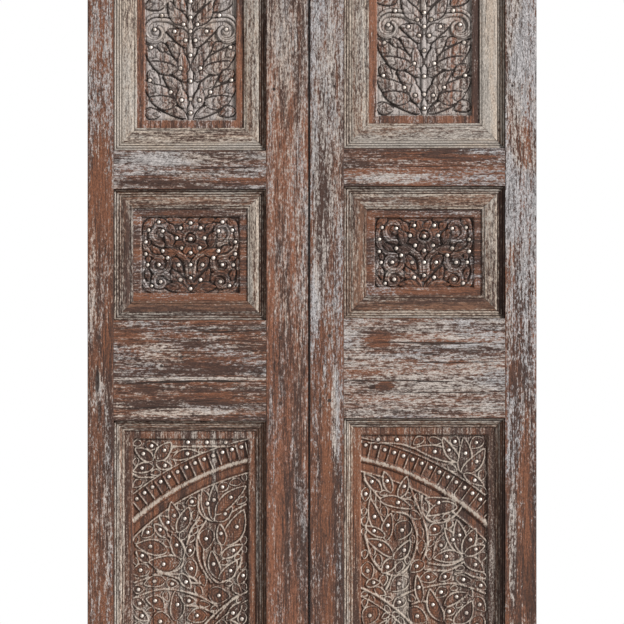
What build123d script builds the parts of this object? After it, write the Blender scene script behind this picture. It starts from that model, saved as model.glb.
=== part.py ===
from build123d import *
import math
import os

os.makedirs("parts", exist_ok=True)

# All sizes are in millimetres. X runs along the door, Z up, and the front faces -Y.

# Leaves
leaf_height = 2121.0
leaf_thickness = 45.0
left_leaf_width = 464.0
right_leaf_width = 475.0
left_hanging_stile = 55.0
left_meeting_stile = 88.0
right_hanging_stile = 66.0
right_meeting_stile = 71.0

# Heights from the bottom of a leaf up, the upper opening being what is left
bottom_rail = 210.0
left_lower_opening = 691.0
right_lower_opening = 697.0
left_lock_rail = 212.0
right_lock_rail = 210.0
left_middle_opening = 275.0
right_middle_opening = 277.0
left_frieze_rail = 82.0
right_frieze_rail = 80.0
top_rail = 126.0

# Running gaps round the leaves
meeting_gap = 4.2
meeting_slope = 3.4
leaf_end_gap = 5.0
leaf_jamb_gap = 2.0

# Joints of the leaves
tenon_thickness = 14.0
tenon_shoulder = 20.0
end_shoulder = 62.0
tenon_stop = 12.0
mortise_play = 1.0
peg_radius = 4.5
peg_inset = 30.0
peg_edge = 17.0
peg_sides = 6

# Panels
panel_setback = 15.0
panel_thickness = 20.0
panel_play = 1.0
tongue_thickness = 10.0
groove_depth = 12.0
panel_border = 17.0
ground_depth = 6.0
relief_height = 4.5

# Panel mouldings
moulding_height = 9.0
moulding_reeds = {"lower": 2, "middle": 3, "upper": 3}
left_upper_moulding = 48.0
left_middle_moulding = 40.0
left_lower_moulding = 22.0
right_upper_moulding = 53.0
right_middle_moulding = 48.0
right_lower_moulding = 19.0
reed_width = 5.4
reed_groove = 1.3
reed_step = 1.0
lip_width = 6.0
lip_height = 3.0
quirk = 1.5

# Metal studs
stud_radius = 4.2
stud_height = 2.6
stud_crown = 1.8
stud_sides = 6

# Pivots
pivot_radius = 9.0
pivot_play = 0.08
pivot_reach = 28.0
tang_side = 20.0
tang_length = 50.0
socket_side = 34.0
socket_floor = 5.0
floor_play = 0.3

# Frame
jamb_width = 70.0
jamb_depth = 95.0
jamb_inset = 3.0
head_thickness = 75.0
sill_thickness = 65.0
nosing = 6.0
horn = 22.0
jamb_tenon_width = 30.0
jamb_tenon_depth = 50.0
jamb_tenon_length = 40.0
fixing_radius = 5.0
fixing_spacing = 1500.0

# Depths, from the front of the head and sill to the back of the jambs
frame_depth = nosing + leaf_thickness + leaf_jamb_gap + jamb_depth
frame_front = -frame_depth / 2
leaf_front = frame_front + nosing
leaf_back = leaf_front + leaf_thickness
leaf_middle = (leaf_front + leaf_back) / 2
jamb_front = leaf_back + leaf_jamb_gap
jamb_back = jamb_front + jamb_depth
tenon_front = leaf_middle - tenon_thickness / 2
tenon_back = leaf_middle + tenon_thickness / 2
panel_front = leaf_front + panel_setback
panel_back = panel_front + panel_thickness
panel_ground = panel_front + ground_depth
tongue_front = (panel_front + panel_back - tongue_thickness) / 2
tongue_back = tongue_front + tongue_thickness
tongue_reach = groove_depth - panel_play

# Levels and widths
leaf_bottom = sill_thickness + leaf_end_gap
leaf_top = leaf_bottom + leaf_height
head_bottom = leaf_top + leaf_end_gap
head_top = head_bottom + head_thickness
leaves_width = left_leaf_width + meeting_gap + right_leaf_width
leaves_edge = leaves_width / 2
meeting_line = -leaves_edge + left_leaf_width + meeting_gap / 2
jamb_outer = leaves_edge - jamb_inset
jamb_inner = jamb_outer - jamb_width
heel_radius = leaf_thickness / 2


def block(x_range, y_range, z_range):
    ranges = (x_range, y_range, z_range)
    sizes = [high - low for low, high in ranges]
    middles = [(high + low) / 2 for low, high in ranges]
    return Pos(*middles) * Box(*sizes)


def upright(radius, x, y, z_low, z_high):
    return Pos(x, y, (z_low + z_high) / 2) * Cylinder(radius, z_high - z_low)


def drawn_on_front(y):
    # A plane whose own X and Y are the door's X and Z, and which faces the viewer
    return Plane(origin=(0, y, 0), x_dir=(1, 0, 0), z_dir=(0, -1, 0))


def leaf_plan(side, inward, width, hanging, meeting, heights, mouldings):
    # Where a leaf's members lie; distances run from its hanging edge inwards
    lower_opening, lock_rail, middle_opening, frieze_rail = heights
    rails = [("bottom_rail", leaf_bottom, leaf_bottom + bottom_rail)]
    openings = []
    level = leaf_bottom + bottom_rail
    for name, opening, rail_name, rail_depth in (
        ("lower", lower_opening, "lock_rail", lock_rail),
        ("middle", middle_opening, "frieze_rail", frieze_rail),
    ):
        openings.append((name, level, level + opening))
        level += opening
        rails.append((rail_name, level, level + rail_depth))
        level += rail_depth
    openings.append(("upper", level, leaf_top - top_rail))
    rails.append(("top_rail", leaf_top - top_rail, leaf_top))
    return {
        "side": side,
        "inward": inward,
        "edge": -inward * leaves_edge,
        "width": width,
        "hanging": hanging,
        "meeting": meeting,
        "rails": rails,
        "openings": openings,
        "mouldings": mouldings,
    }


def x_at(leaf, distance):
    return leaf["edge"] + leaf["inward"] * distance


def x_between(leaf, near, far):
    return tuple(sorted((x_at(leaf, near), x_at(leaf, far))))


def opening_width(leaf):
    return x_between(leaf, leaf["hanging"], leaf["width"] - leaf["meeting"])


# Stiles and rails
def tenon_levels(low, high):
    # Tenons stand back from the rail's edges, and further where a pivot enters the stile
    bottom = low + (tenon_shoulder if low > leaf_bottom else end_shoulder)
    top = high - (tenon_shoulder if high < leaf_top else end_shoulder)
    return bottom, top


def tenon_block(leaf, levels, play):
    near = leaf["hanging"]
    far = leaf["width"] - leaf["meeting"]
    ends = x_between(leaf, tenon_stop - play, leaf["width"] - tenon_stop + play)
    gap = x_between(leaf, near, far)
    whole = block(ends, (tenon_front, tenon_back), levels)
    return whole - block(gap, (tenon_front, tenon_back), levels)


def peg_places(leaf):
    # Two pegs at each end of the lock rail, which is the second from the bottom
    name, low, high = leaf["rails"][1]
    bottom, top = tenon_levels(low, high)
    near = x_at(leaf, leaf["hanging"] - peg_inset)
    far = x_at(leaf, leaf["width"] - leaf["meeting"] + peg_inset)
    return [(x, z) for x in (near, far) for z in (bottom + peg_edge, top - peg_edge)]


def pegs(leaf):
    pins = []
    for place in peg_places(leaf):
        end = drawn_on_front(leaf_front) * (Pos(*place) * RegularPolygon(peg_radius, peg_sides))
        pins.append(extrude(end, leaf_front - tenon_back))
    return pins


def stile(leaf, section, shoulder, outward):
    # An upright cut for the panel grooves, the rail tenons and the pegs
    body = Pos(0, 0, leaf_bottom) * extrude(section, leaf_height)
    for name, low, high in leaf["openings"]:
        groove = x_between(leaf, shoulder, shoulder + outward * groove_depth)
        body -= block(groove, (tongue_front, tongue_back), (low - groove_depth, high + groove_depth))
    for name, low, high in leaf["rails"]:
        body -= tenon_block(leaf, tenon_levels(low, high), mortise_play)
    for peg in pegs(leaf):
        body -= peg
    return body


def hanging_stile(leaf):
    # Its heel is rounded about the pivot, so that it clears the jamb as it turns
    lean = heel_radius * math.sqrt(0.5)
    outer = Line((x_at(leaf, 0), leaf_middle), (x_at(leaf, 0), leaf_front))
    face = Line(outer @ 1, (x_at(leaf, leaf["hanging"]), leaf_front))
    shoulder = Line(face @ 1, (x_at(leaf, leaf["hanging"]), leaf_back))
    back = Line(shoulder @ 1, (x_at(leaf, heel_radius), leaf_back))
    heel = ThreePointArc(back @ 1, (x_at(leaf, heel_radius - lean), leaf_middle + lean), outer @ 0)
    body = stile(leaf, make_face([outer, face, shoulder, back, heel]), leaf["hanging"], -1)
    return body - tang(leaf, leaf_bottom, 1) - tang(leaf, leaf_top, -1)


def meeting_stile(leaf):
    # Its free edge slopes, so that little light shows between the leaves
    shoulder = leaf["width"] - leaf["meeting"]
    corners = [
        (x_at(leaf, shoulder), leaf_front),
        (x_at(leaf, leaf["width"]), leaf_front),
        (x_at(leaf, leaf["width"]) + meeting_slope, leaf_back),
        (x_at(leaf, shoulder), leaf_back),
    ]
    return stile(leaf, make_face(Polyline(*corners, close=True)), shoulder, 1)


def rail(leaf, low, high):
    x_range = opening_width(leaf)
    tongue = (tongue_front, tongue_back)
    body = block(x_range, (leaf_front, leaf_back), (low, high))
    body += tenon_block(leaf, tenon_levels(low, high), 0)
    if low > leaf_bottom:
        body -= block(x_range, tongue, (low, low + groove_depth))
    if high < leaf_top:
        body -= block(x_range, tongue, (high - groove_depth, high))
    for peg in pegs(leaf):
        body -= peg
    return body


# Shapes that the carving is made of, with straight facets as a chisel leaves them
def around(centre, radius, angle):
    turn = math.radians(angle)
    return (centre[0] + radius * math.cos(turn), centre[1] + radius * math.sin(turn))


def swept_angle(side, angle):
    # An angle given for a pattern's right half, turned over for its left half
    return angle if side > 0 else 180 - angle


def ribbon(path, widths):
    # A raised strip about a path, as wide at each of its points as stated
    lefts = []
    rights = []
    for index, (x, z) in enumerate(path):
        before = path[max(index - 1, 0)]
        after = path[min(index + 1, len(path) - 1)]
        length = math.dist(before, after)
        side_x = (before[1] - after[1]) / length * widths[index] / 2
        side_z = (after[0] - before[0]) / length * widths[index] / 2
        lefts.append((x + side_x, z + side_z))
        rights.append((x - side_x, z - side_z))
    outline = lefts + rights[::-1]
    corners = [outline[0]]
    for corner in outline[1:]:
        if math.dist(corner, corners[-1]) > least_facet and math.dist(corner, corners[0]) > least_facet:
            corners.append(corner)
    return make_face(Polyline(*corners, close=True))


def volute(centre, radius, start, end, side, width):
    # A scroll that winds in and narrows from its start angle to its end angle
    path = []
    widths = []
    for step in range(volute_steps + 1):
        share = step / volute_steps
        angle = swept_angle(side, start + (end - start) * share)
        path.append(around(centre, radius * (1 - volute_shrink * share), angle))
        widths.append(width * (1 - volute_taper * share))
    return ribbon(path, widths)


def leaf_shape(base, tip, width, bend=0.0):
    # A leaf with a lobe on each side, pointed at both ends; bend bows it to its left
    length = math.dist(base, tip)
    along = ((tip[0] - base[0]) / length, (tip[1] - base[1]) / length)
    path = []
    widths = []
    for step in range(leaf_steps + 1):
        share = step / leaf_steps
        bow = bend * math.sin(math.pi * share)
        x = base[0] + along[0] * length * share - along[1] * bow
        z = base[1] + along[1] * length * share + along[0] * bow
        path.append((x, z))
        lobes = 1 - leaf_notch + leaf_notch * math.cos(2 * math.pi * leaf_lobes * share)
        widths.append(width * math.sin(math.pi * share) * lobes)
    return ribbon(path, widths)


def arch_strip(centre, radius, width, start, end, side):
    # A strip along part of a circle, from one angle to another
    path = []
    for step in range(arch_steps + 1):
        angle = swept_angle(side, start + (end - start) * step / arch_steps)
        path.append(around(centre, radius, angle))
    return ribbon(path, [width] * len(path))


least_facet = 0.2
root_overlap = 3.0
volute_steps = 9
volute_shrink = 0.55
volute_taper = 0.45
leaf_steps = 5
leaf_lobes = 2
leaf_notch = 0.2
arch_steps = 8

# Upper panels: a stem with pairs of leaves and scrolls
stem_width = 7.0
flare_width = 44.0
flare_rise = 14.0
bract_rise = 26.0
bract_reach = 88.0
bract_lift = 44.0
bract_width = 30.0
sprig_rise = 80.0
sprig_reach = 64.0
sprig_lift = 48.0
sprig_width = 20.0
leaf_bow = 7.0
scroll_reach = 58.0
scroll_rise = 186.0
scroll_radius = 34.0
scroll_width = 9.0
scroll_start = 215.0
scroll_end = -120.0
crown_rise = 196.0
finial_rise = 290.0
finial_length = 76.0
finial_width = 34.0


def leaf_pair(x, base, reach, lift, width):
    pair = []
    for side in (-1, 1):
        tip = (x + side * reach, base + lift)
        pair.append(leaf_shape((x - side * root_overlap, base), tip, width, -side * leaf_bow))
    return pair


def upper_motif(leaf, x_range, z_range):
    x = sum(x_range) / 2
    low = z_range[0]
    stem_top = low + finial_rise
    finial_tip = stem_top + finial_length
    shapes = [ribbon([(x, low), (x, low + flare_rise), (x, stem_top)], [flare_width, stem_width, stem_width])]
    shapes.append(leaf_shape((x, stem_top - stem_width), (x, finial_tip), finial_width))
    eyes = [(x, (stem_top + finial_tip) / 2)]
    sunk = []
    for tier in (low, low + crown_rise):
        shapes += leaf_pair(x, tier + bract_rise, bract_reach, bract_lift, bract_width)
        shapes += leaf_pair(x, tier + sprig_rise, sprig_reach, sprig_lift, sprig_width)
    for side in (-1, 1):
        centre = (x + side * scroll_reach, low + scroll_rise)
        shapes.append(volute(centre, scroll_radius, scroll_start, scroll_end, side, scroll_width))
        root = (x, centre[1] - 2 * scroll_radius)
        joint = around(centre, scroll_radius, swept_angle(side, scroll_start))
        shapes.append(ribbon([root, joint], [stem_width, scroll_width]))
        sunk.append(centre)
        eyes.append((x + side * bract_reach / 2, low + bract_rise + bract_lift / 2 + leaf_bow))
    return shapes, eyes, sunk


# Middle panels: a rosette on two spreading stems, with a scroll near each corner
rosette_rise = 30.0
rosette_radius = 24.0
rosette_band = 5.0
rosette_sides = 10
boss_radius = 9.0
boss_sides = 5
spray_root = -34.0
spray_reach = 46.0
spray_lift = 74.0
spray_width = 13.0
spray_bow = 12.0
corner_reach = 66.0
corner_lift = 44.0
corner_drop = -26.0
corner_radius = 22.0
corner_width = 8.0
corner_start = 200.0
corner_end = -110.0
foot_drop = -62.0
foot_reach = 58.0
foot_lift = 12.0
foot_width = 20.0
tail_root = 50.0
tail_reach = 92.0
tail_drop = -66.0
tail_lift = 34.0
tail_width = 15.0


def middle_motif(leaf, x_range, z_range):
    x = sum(x_range) / 2
    z = sum(z_range) / 2
    heart = Pos(x, z + rosette_rise)
    outer = RegularPolygon(rosette_radius, rosette_sides)
    inner = RegularPolygon(rosette_radius - rosette_band, rosette_sides)
    shapes = [heart * (outer - inner), heart * RegularPolygon(boss_radius, boss_sides)]
    eyes = [(x, z + rosette_rise)]
    sunk = []
    for side in (-1, 1):
        root = (x - side * root_overlap, z + spray_root)
        tip = (x + side * spray_reach, root[1] + spray_lift)
        shapes.append(leaf_shape(root, tip, spray_width, -side * spray_bow))
        foot = (x - side * root_overlap, z + foot_drop)
        shapes.append(leaf_shape(foot, (x + side * foot_reach, foot[1] + foot_lift), foot_width))
        tail = (x + side * tail_root, z + tail_drop)
        shapes.append(leaf_shape(tail, (x + side * tail_reach, tail[1] + tail_lift), tail_width))
        for level in (corner_lift, corner_drop):
            centre = (x + side * corner_reach, z + level)
            shapes.append(volute(centre, corner_radius, corner_start, corner_end, side, corner_width))
            sunk.append(centre)
    return shapes, eyes, sunk


# Lower panels: half of an arch that the two leaves share, about a point on the meeting line
arch_rise = 73.0
arch_radii = (592.0, 548.0, 524.0)
arch_width = 5.5
arch_start = 42.0
arch_end = 82.0
tooth_row = 569.0
tooth_length = 24.0
tooth_width = 5.0
tooth_angle = 3.0
wreath_radii = (288.0, 262.0)
wreath_width = 6.5
wreath_start = -10.0
wreath_end = 70.0
sub_arch_across = 283.0
sub_arch_up = 90.0
sub_arch_radius = 184.0
sub_arch_start = 52.0
sub_arch_end = 128.0
curl_angle = 63.0
curl_distance = 398.0
curl_radius = 48.0
curl_width = 12.0
curl_start = 330.0
curl_end = -10.0

# Angle about the arch's centre, the radii of base and tip, and the width of each leaf
fan_leaves = (
    (76.0, 305.0, 345.0, 24.0),
    (75.5, 430.0, 512.0, 34.0),
    (52.0, 436.0, 514.0, 36.0),
    (49.0, 305.0, 375.0, 30.0),
    (42.0, 420.0, 512.0, 34.0),
    (33.0, 330.0, 430.0, 34.0),
    (62.0, 160.0, 250.0, 40.0),
    (44.0, 165.0, 250.0, 44.0),
    (26.0, 180.0, 256.0, 40.0),
    (10.0, 180.0, 330.0, 46.0),
)

# Base and tip of the leaves outside the arch, from its centre, and their width
spandrel_leaves = (
    ((236.0, 566.0), (310.0, 574.0), 22.0),
    ((300.0, 532.0), (366.0, 492.0), 26.0),
    ((318.0, 560.0), (368.0, 540.0), 20.0),
)


def lower_motif(leaf, x_range, z_range):
    side = -leaf["inward"]
    centre = (meeting_line, z_range[0] - panel_border - leaf["mouldings"]["lower"] + arch_rise)
    shapes = [arch_strip(centre, radius, arch_width, arch_start, arch_end, side) for radius in arch_radii]
    for radius in wreath_radii:
        shapes.append(arch_strip(centre, radius, wreath_width, wreath_start, wreath_end, side))
    sub_arch = (centre[0] + side * sub_arch_across, centre[1] + sub_arch_up)
    shapes.append(arch_strip(sub_arch, sub_arch_radius, arch_width, sub_arch_start, sub_arch_end, side))
    curl = around(centre, curl_distance, swept_angle(side, curl_angle))
    shapes.append(volute(curl, curl_radius, curl_start, curl_end, side, curl_width))
    eyes = []
    sunk = [curl]
    for angle, near, far, width in fan_leaves:
        turn = swept_angle(side, angle)
        shapes.append(leaf_shape(around(centre, near, turn), around(centre, far, turn), width))
        eyes.append(around(centre, (near + far) / 2, turn))
    for base, tip, width in spandrel_leaves:
        ends = [(centre[0] + side * across, centre[1] + up) for across, up in (base, tip)]
        shapes.append(leaf_shape(ends[0], ends[1], width))
        eyes.append(((ends[0][0] + ends[1][0]) / 2, (ends[0][1] + ends[1][1]) / 2))
    for step in range(int((arch_end - arch_start) / tooth_angle)):
        turn = swept_angle(side, arch_start + (step + 0.5) * tooth_angle)
        spot = around(centre, tooth_row, turn)
        if within(spot, x_range, z_range, tooth_length / 2):
            shapes.append(Pos(*spot) * Rot(0, 0, turn) * Rectangle(tooth_length, tooth_width))
            if step % 2:
                sunk.append(around(centre, tooth_row, turn + tooth_angle / 2))
    return shapes, eyes, sunk


# Carved panels and their studs
def within(spot, x_range, z_range, margin):
    inside_x = x_range[0] + margin < spot[0] < x_range[1] - margin
    return inside_x and z_range[0] + margin < spot[1] < z_range[1] - margin


def field_ranges(leaf, name, low, high):
    margin = leaf["mouldings"][name] + panel_border
    x_low, x_high = opening_width(leaf)
    return (x_low + margin, x_high - margin), (low + margin, high - margin)


motifs = {"lower": lower_motif, "middle": middle_motif, "upper": upper_motif}


def carved_panel(leaf, name, low, high):
    x_low, x_high = opening_width(leaf)
    body = block(
        (x_low + panel_play, x_high - panel_play),
        (panel_front, panel_back),
        (low + panel_play, high - panel_play),
    )
    body += block(
        (x_low - tongue_reach, x_high + tongue_reach),
        (tongue_front, tongue_back),
        (low - tongue_reach, high + tongue_reach),
    )
    x_range, z_range = field_ranges(leaf, name, low, high)
    body -= block(x_range, (panel_front, panel_ground), z_range)
    shapes, eyes, sunk = motifs[name](leaf, x_range, z_range)
    middle = (sum(x_range) / 2, sum(z_range) / 2)
    field = Pos(*middle) * Rectangle(x_range[1] - x_range[0], z_range[1] - z_range[0])
    pattern = (Sketch() + shapes) & field
    return body + extrude(drawn_on_front(panel_ground) * pattern, relief_height)


def stud_head():
    # A nail head with flat facets that lean in from its base to a small crown
    rings = []
    for radius, level in ((stud_radius, 0), (stud_crown, stud_height)):
        angles = [360 * side / stud_sides for side in range(stud_sides)]
        rings.append([(*around((0, 0), radius, angle), level) for angle in angles])
    base, crown = rings
    faces = [make_face(Polyline(*ring, close=True)) for ring in rings]
    for side in range(stud_sides):
        corners = (base[side - 1], base[side], crown[side], crown[side - 1])
        faces.append(make_face(Polyline(*corners, close=True)))
    return Solid(Shell([face.faces()[0] for face in faces]))


def studs(leaf, name, low, high):
    stud = stud_head()
    x_range, z_range = field_ranges(leaf, name, low, high)
    shapes, eyes, sunk = motifs[name](leaf, x_range, z_range)
    heads = []
    for spots, depth in ((eyes, panel_ground - relief_height), (sunk, panel_ground)):
        for spot in spots:
            if within(spot, x_range, z_range, stud_radius):
                heads.append(drawn_on_front(depth) * Pos(*spot) * stud)
    return heads


# Mouldings planted round each panel
def moulding_section(width, reeds):
    # From the opening's edge inwards: reeds that step down, a wide slope, then a small lip
    points = [(0, 0)]
    across = 0.0
    level = moulding_height
    for reed in range(reeds):
        points.append((across, level))
        across += reed_width
        points.append((across - reed_groove, level))
        level -= reed_step
        points.append((across - reed_groove, level - reed_groove))
    points += [
        (across, level),
        (width - lip_width, lip_height + quirk),
        (width - lip_width, lip_height),
        (width - quirk, lip_height),
        (width, lip_height - quirk),
        (width, 0),
    ]
    return make_face(Polyline(*points, close=True))


def mitred_strip(section, width, length):
    # Runs along Z from its own corner, with its width along X and its height along Y
    strip = extrude(section, length)
    cut = Polyline((0, 0), (width, width), (width, length - width), (0, length), close=True)
    return strip & extrude(Plane.XZ * make_face(cut), -moulding_height)


def mouldings(leaf, name, low, high):
    width = leaf["mouldings"][name]
    section = moulding_section(width, moulding_reeds[name])
    x_low, x_high = opening_width(leaf)
    runs = [
        ((x_low, low), (0, 0, 1), x_high - x_low),
        ((x_high, high), (0, 0, -1), x_high - x_low),
        ((x_low, high), (1, 0, 0), high - low),
        ((x_high, low), (-1, 0, 0), high - low),
    ]
    strips = []
    for (x, z), inwards, length in runs:
        along = Vector(*inwards).cross(Vector(0, -1, 0))
        seat = Plane(origin=(x, panel_front, z), x_dir=inwards, z_dir=along)
        strips.append(seat * mitred_strip(section, width, length))
    return strips


# Iron pivots and the sockets that they turn in
def tang(leaf, end, into):
    x = x_at(leaf, heel_radius)
    half = tang_side / 2
    reach = sorted((end, end + into * tang_length))
    return block((x - half, x + half), (leaf_middle - half, leaf_middle + half), reach)


def pivot(leaf, end, outward):
    # A square tang in the stile and a round journal that turns in the socket
    x = x_at(leaf, heel_radius)
    journal = sorted((end, end + outward * (leaf_end_gap + pivot_reach)))
    return tang(leaf, end, -outward) + upright(pivot_radius, x, leaf_middle, *journal)


def socket_block(leaf, face, outward):
    x = x_at(leaf, heel_radius)
    half = socket_side / 2
    reach = sorted((face, face + outward * (pivot_reach + floor_play + socket_floor)))
    return block((x - half, x + half), (leaf_middle - half, leaf_middle + half), reach)


def socket(leaf, face, outward):
    bore = sorted((face, face + outward * (pivot_reach + floor_play)))
    hollow = upright(pivot_radius + pivot_play, x_at(leaf, heel_radius), leaf_middle, *bore)
    return socket_block(leaf, face, outward) - hollow


# Frame
def crosspiece(low, high, face, outward, leaves):
    # Head or sill: as wide as the jambs behind, and past the leaves in front, for the pivots
    body = block((-jamb_outer, jamb_outer), (frame_front, jamb_back), (low, high))
    body += block((-leaves_edge - horn, leaves_edge + horn), (frame_front, jamb_front), (low, high))
    for leaf in leaves:
        body -= socket_block(leaf, face, outward)
    for side in (-1, 1):
        body -= jamb_tenon(side, face, outward, mortise_play)
    return body


def jamb_tenon(side, face, outward, play):
    middle = side * (jamb_outer + jamb_inner) / 2
    half = jamb_tenon_width / 2
    depth = (jamb_front + jamb_back) / 2
    reach = sorted((face, face + outward * (jamb_tenon_length + play)))
    y_range = (depth - jamb_tenon_depth / 2, depth + jamb_tenon_depth / 2)
    return block((middle - half, middle + half), y_range, reach)


def jamb(side):
    sides = sorted((side * jamb_inner, side * jamb_outer))
    body = block(sides, (jamb_front, jamb_back), (sill_thickness, head_bottom))
    body += jamb_tenon(side, sill_thickness, -1, 0)
    body += jamb_tenon(side, head_bottom, 1, 0)
    for x, y, z in fixing_places(side):
        body -= Pos(x, y, z) * Rot(0, 90, 0) * Cylinder(fixing_radius, jamb_width)
    return body


def fixing_places(side):
    middle = (sill_thickness + head_bottom) / 2
    x = side * (jamb_outer + jamb_inner) / 2
    y = (jamb_front + jamb_back) / 2
    return [(x, y, middle + end * fixing_spacing / 2) for end in (-1, 1)]


# The two leaves
left_leaf = leaf_plan(
    "left",
    1,
    left_leaf_width,
    left_hanging_stile,
    left_meeting_stile,
    (left_lower_opening, left_lock_rail, left_middle_opening, left_frieze_rail),
    {"lower": left_lower_moulding, "middle": left_middle_moulding, "upper": left_upper_moulding},
)
right_leaf = leaf_plan(
    "right",
    -1,
    right_leaf_width,
    right_hanging_stile,
    right_meeting_stile,
    (right_lower_opening, right_lock_rail, right_middle_opening, right_frieze_rail),
    {"lower": right_lower_moulding, "middle": right_middle_moulding, "upper": right_upper_moulding},
)


def save(name, pieces):
    pieces = pieces if isinstance(pieces, list) else [pieces]
    solids = [solid for piece in pieces for solid in piece.solids()]
    export_step(Compound(children=solids, label=name), f"parts/{name}.step")


def save_leaf(leaf):
    side = leaf["side"]
    save(f"{side}_hanging_stile", hanging_stile(leaf))
    save(f"{side}_meeting_stile", meeting_stile(leaf))
    for name, low, high in leaf["rails"]:
        save(f"{side}_{name}", rail(leaf, low, high))
    for name, low, high in leaf["openings"]:
        save(f"{side}_{name}_panel", carved_panel(leaf, name, low, high))
        save(f"{side}_{name}_moulding", mouldings(leaf, name, low, high))
        save(f"{side}_{name}_studs", studs(leaf, name, low, high))
    save(f"{side}_pegs", pegs(leaf))
    save(f"{side}_pivots", [pivot(leaf, leaf_bottom, -1), pivot(leaf, leaf_top, 1)])


both_leaves = (left_leaf, right_leaf)
for leaf in both_leaves:
    save_leaf(leaf)
save("sill", crosspiece(0, sill_thickness, sill_thickness, -1, both_leaves))
save("head", crosspiece(head_bottom, head_top, head_bottom, 1, both_leaves))
save("sill_sockets", [socket(leaf, sill_thickness, -1) for leaf in both_leaves])
save("head_sockets", [socket(leaf, head_bottom, 1) for leaf in both_leaves])
save("left_jamb", jamb(-1))
save("right_jamb", jamb(1))
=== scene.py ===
# Carved wooden door: two panelled leaves hung in a plain frame, limewashed and worn
import math

import bmesh
import bpy
import numpy as np
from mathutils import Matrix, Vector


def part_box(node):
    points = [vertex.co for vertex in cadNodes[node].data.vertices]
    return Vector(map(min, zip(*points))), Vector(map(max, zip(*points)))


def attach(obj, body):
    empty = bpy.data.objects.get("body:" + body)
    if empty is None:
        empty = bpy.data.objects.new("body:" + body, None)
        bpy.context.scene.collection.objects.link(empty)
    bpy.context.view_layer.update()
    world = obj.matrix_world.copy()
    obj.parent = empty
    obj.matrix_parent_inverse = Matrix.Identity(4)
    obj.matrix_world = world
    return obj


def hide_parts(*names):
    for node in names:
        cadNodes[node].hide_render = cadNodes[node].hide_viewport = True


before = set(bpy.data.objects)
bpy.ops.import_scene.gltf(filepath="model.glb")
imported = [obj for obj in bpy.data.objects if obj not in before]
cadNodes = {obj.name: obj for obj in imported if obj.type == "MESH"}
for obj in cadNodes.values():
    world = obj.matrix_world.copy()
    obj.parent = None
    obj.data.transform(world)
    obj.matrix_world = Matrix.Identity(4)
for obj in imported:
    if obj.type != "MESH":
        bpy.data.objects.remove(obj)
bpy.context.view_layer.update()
print("frame loaded:", len(cadNodes), "nodes")

# Where a pixel of the photograph lies on the door, in metres
photo = {"perPixel": 0.0021, "gapPixel": 309.0, "gapX": -0.0055, "footPixel": 850.0, "footZ": 0.070}


def toX(pixel):
    return photo["gapX"] + (pixel - photo["gapPixel"]) * photo["perPixel"]


def toZ(pixel):
    return photo["footZ"] + (photo["footPixel"] - pixel) * photo["perPixel"]


def toPixelU(x):
    return (x - photo["gapX"]) / photo["perPixel"] + photo["gapPixel"]


def toPixelV(z):
    return photo["footPixel"] - (z - photo["footZ"]) / photo["perPixel"]


# Materials. A node's input takes a plain value or another node's output.
def feed(tree, socket, value):
    if isinstance(value, bpy.types.NodeSocket):
        tree.links.new(value, socket)
    else:
        socket.default_value = (*value, 1.0) if socket.type == "RGBA" else value


def addNode(tree, kind, inputs, **settings):
    node = tree.nodes.new(kind)
    for key, setting in settings.items():
        setattr(node, key, setting)
    for key, value in inputs.items():
        feed(tree, node.inputs[key], value)
    return node


def maths(tree, operation, *values):
    return addNode(tree, "ShaderNodeMath", dict(enumerate(values)), operation=operation).outputs[0]


def chain(tree, operation, first, others):
    for other in others:
        first = maths(tree, operation, first, other)
    return first


def total(tree, first, *others):
    return chain(tree, "ADD", first, others)


def product(tree, first, *others):
    return chain(tree, "MULTIPLY", first, others)


def largest(tree, first, *others):
    return chain(tree, "MAXIMUM", first, others)


def spread(tree, value, gain=1.0):
    # How far a noise lies from its middle, times gain
    return product(tree, maths(tree, "SUBTRACT", value, 0.5), gain)


def smooth(tree, value, low, high, toLow=0.0, toHigh=1.0):
    # value turned into toLow at low and toHigh at high, with a soft step between
    inputs = dict(enumerate((value, low, high, toLow, toHigh)))
    kind = "ShaderNodeMapRange"
    return addNode(tree, kind, inputs, interpolation_type="SMOOTHSTEP").outputs[0]


def mixColour(tree, factor, first, second):
    inputs = {0: factor, 6: first, 7: second}
    return addNode(tree, "ShaderNodeMix", inputs, data_type="RGBA").outputs[2]


def dimmed(tree, colour, factor):
    inputs = {0: colour, "Scale": factor}
    return addNode(tree, "ShaderNodeVectorMath", inputs, operation="SCALE").outputs[0]


def noise(tree, vector, cells, detail, roughness, distortion=0.0):
    # cells are counted per metre along X, Y and Z
    place = addNode(tree, "ShaderNodeMapping", {"Vector": vector, "Scale": cells}).outputs[0]
    inputs = {"Vector": place, "Scale": 1.0, "Detail": detail}
    inputs.update({"Roughness": roughness, "Distortion": distortion})
    return addNode(tree, "ShaderNodeTexNoise", inputs).outputs["Fac"]


def attribute(tree, name):
    return addNode(tree, "ShaderNodeAttribute", {}, attribute_name=name).outputs["Fac"]


def alongGrain(axis, across, along):
    return (along, across, across) if axis == "x" else (across, across, along)


def newMaterial(name):
    material = bpy.data.materials.new(name)
    material.use_nodes = True
    return material, material.node_tree


def finishShader(tree, relief, depth, inputs):
    # The main shader's inputs, with a bump of that depth in metres
    bumps = addNode(tree, "ShaderNodeBump", {"Distance": depth, "Height": relief})
    for key, value in {**inputs, "Normal": bumps.outputs[0]}.items():
        feed(tree, tree.nodes["Principled BSDF"].inputs[key], value)


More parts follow.
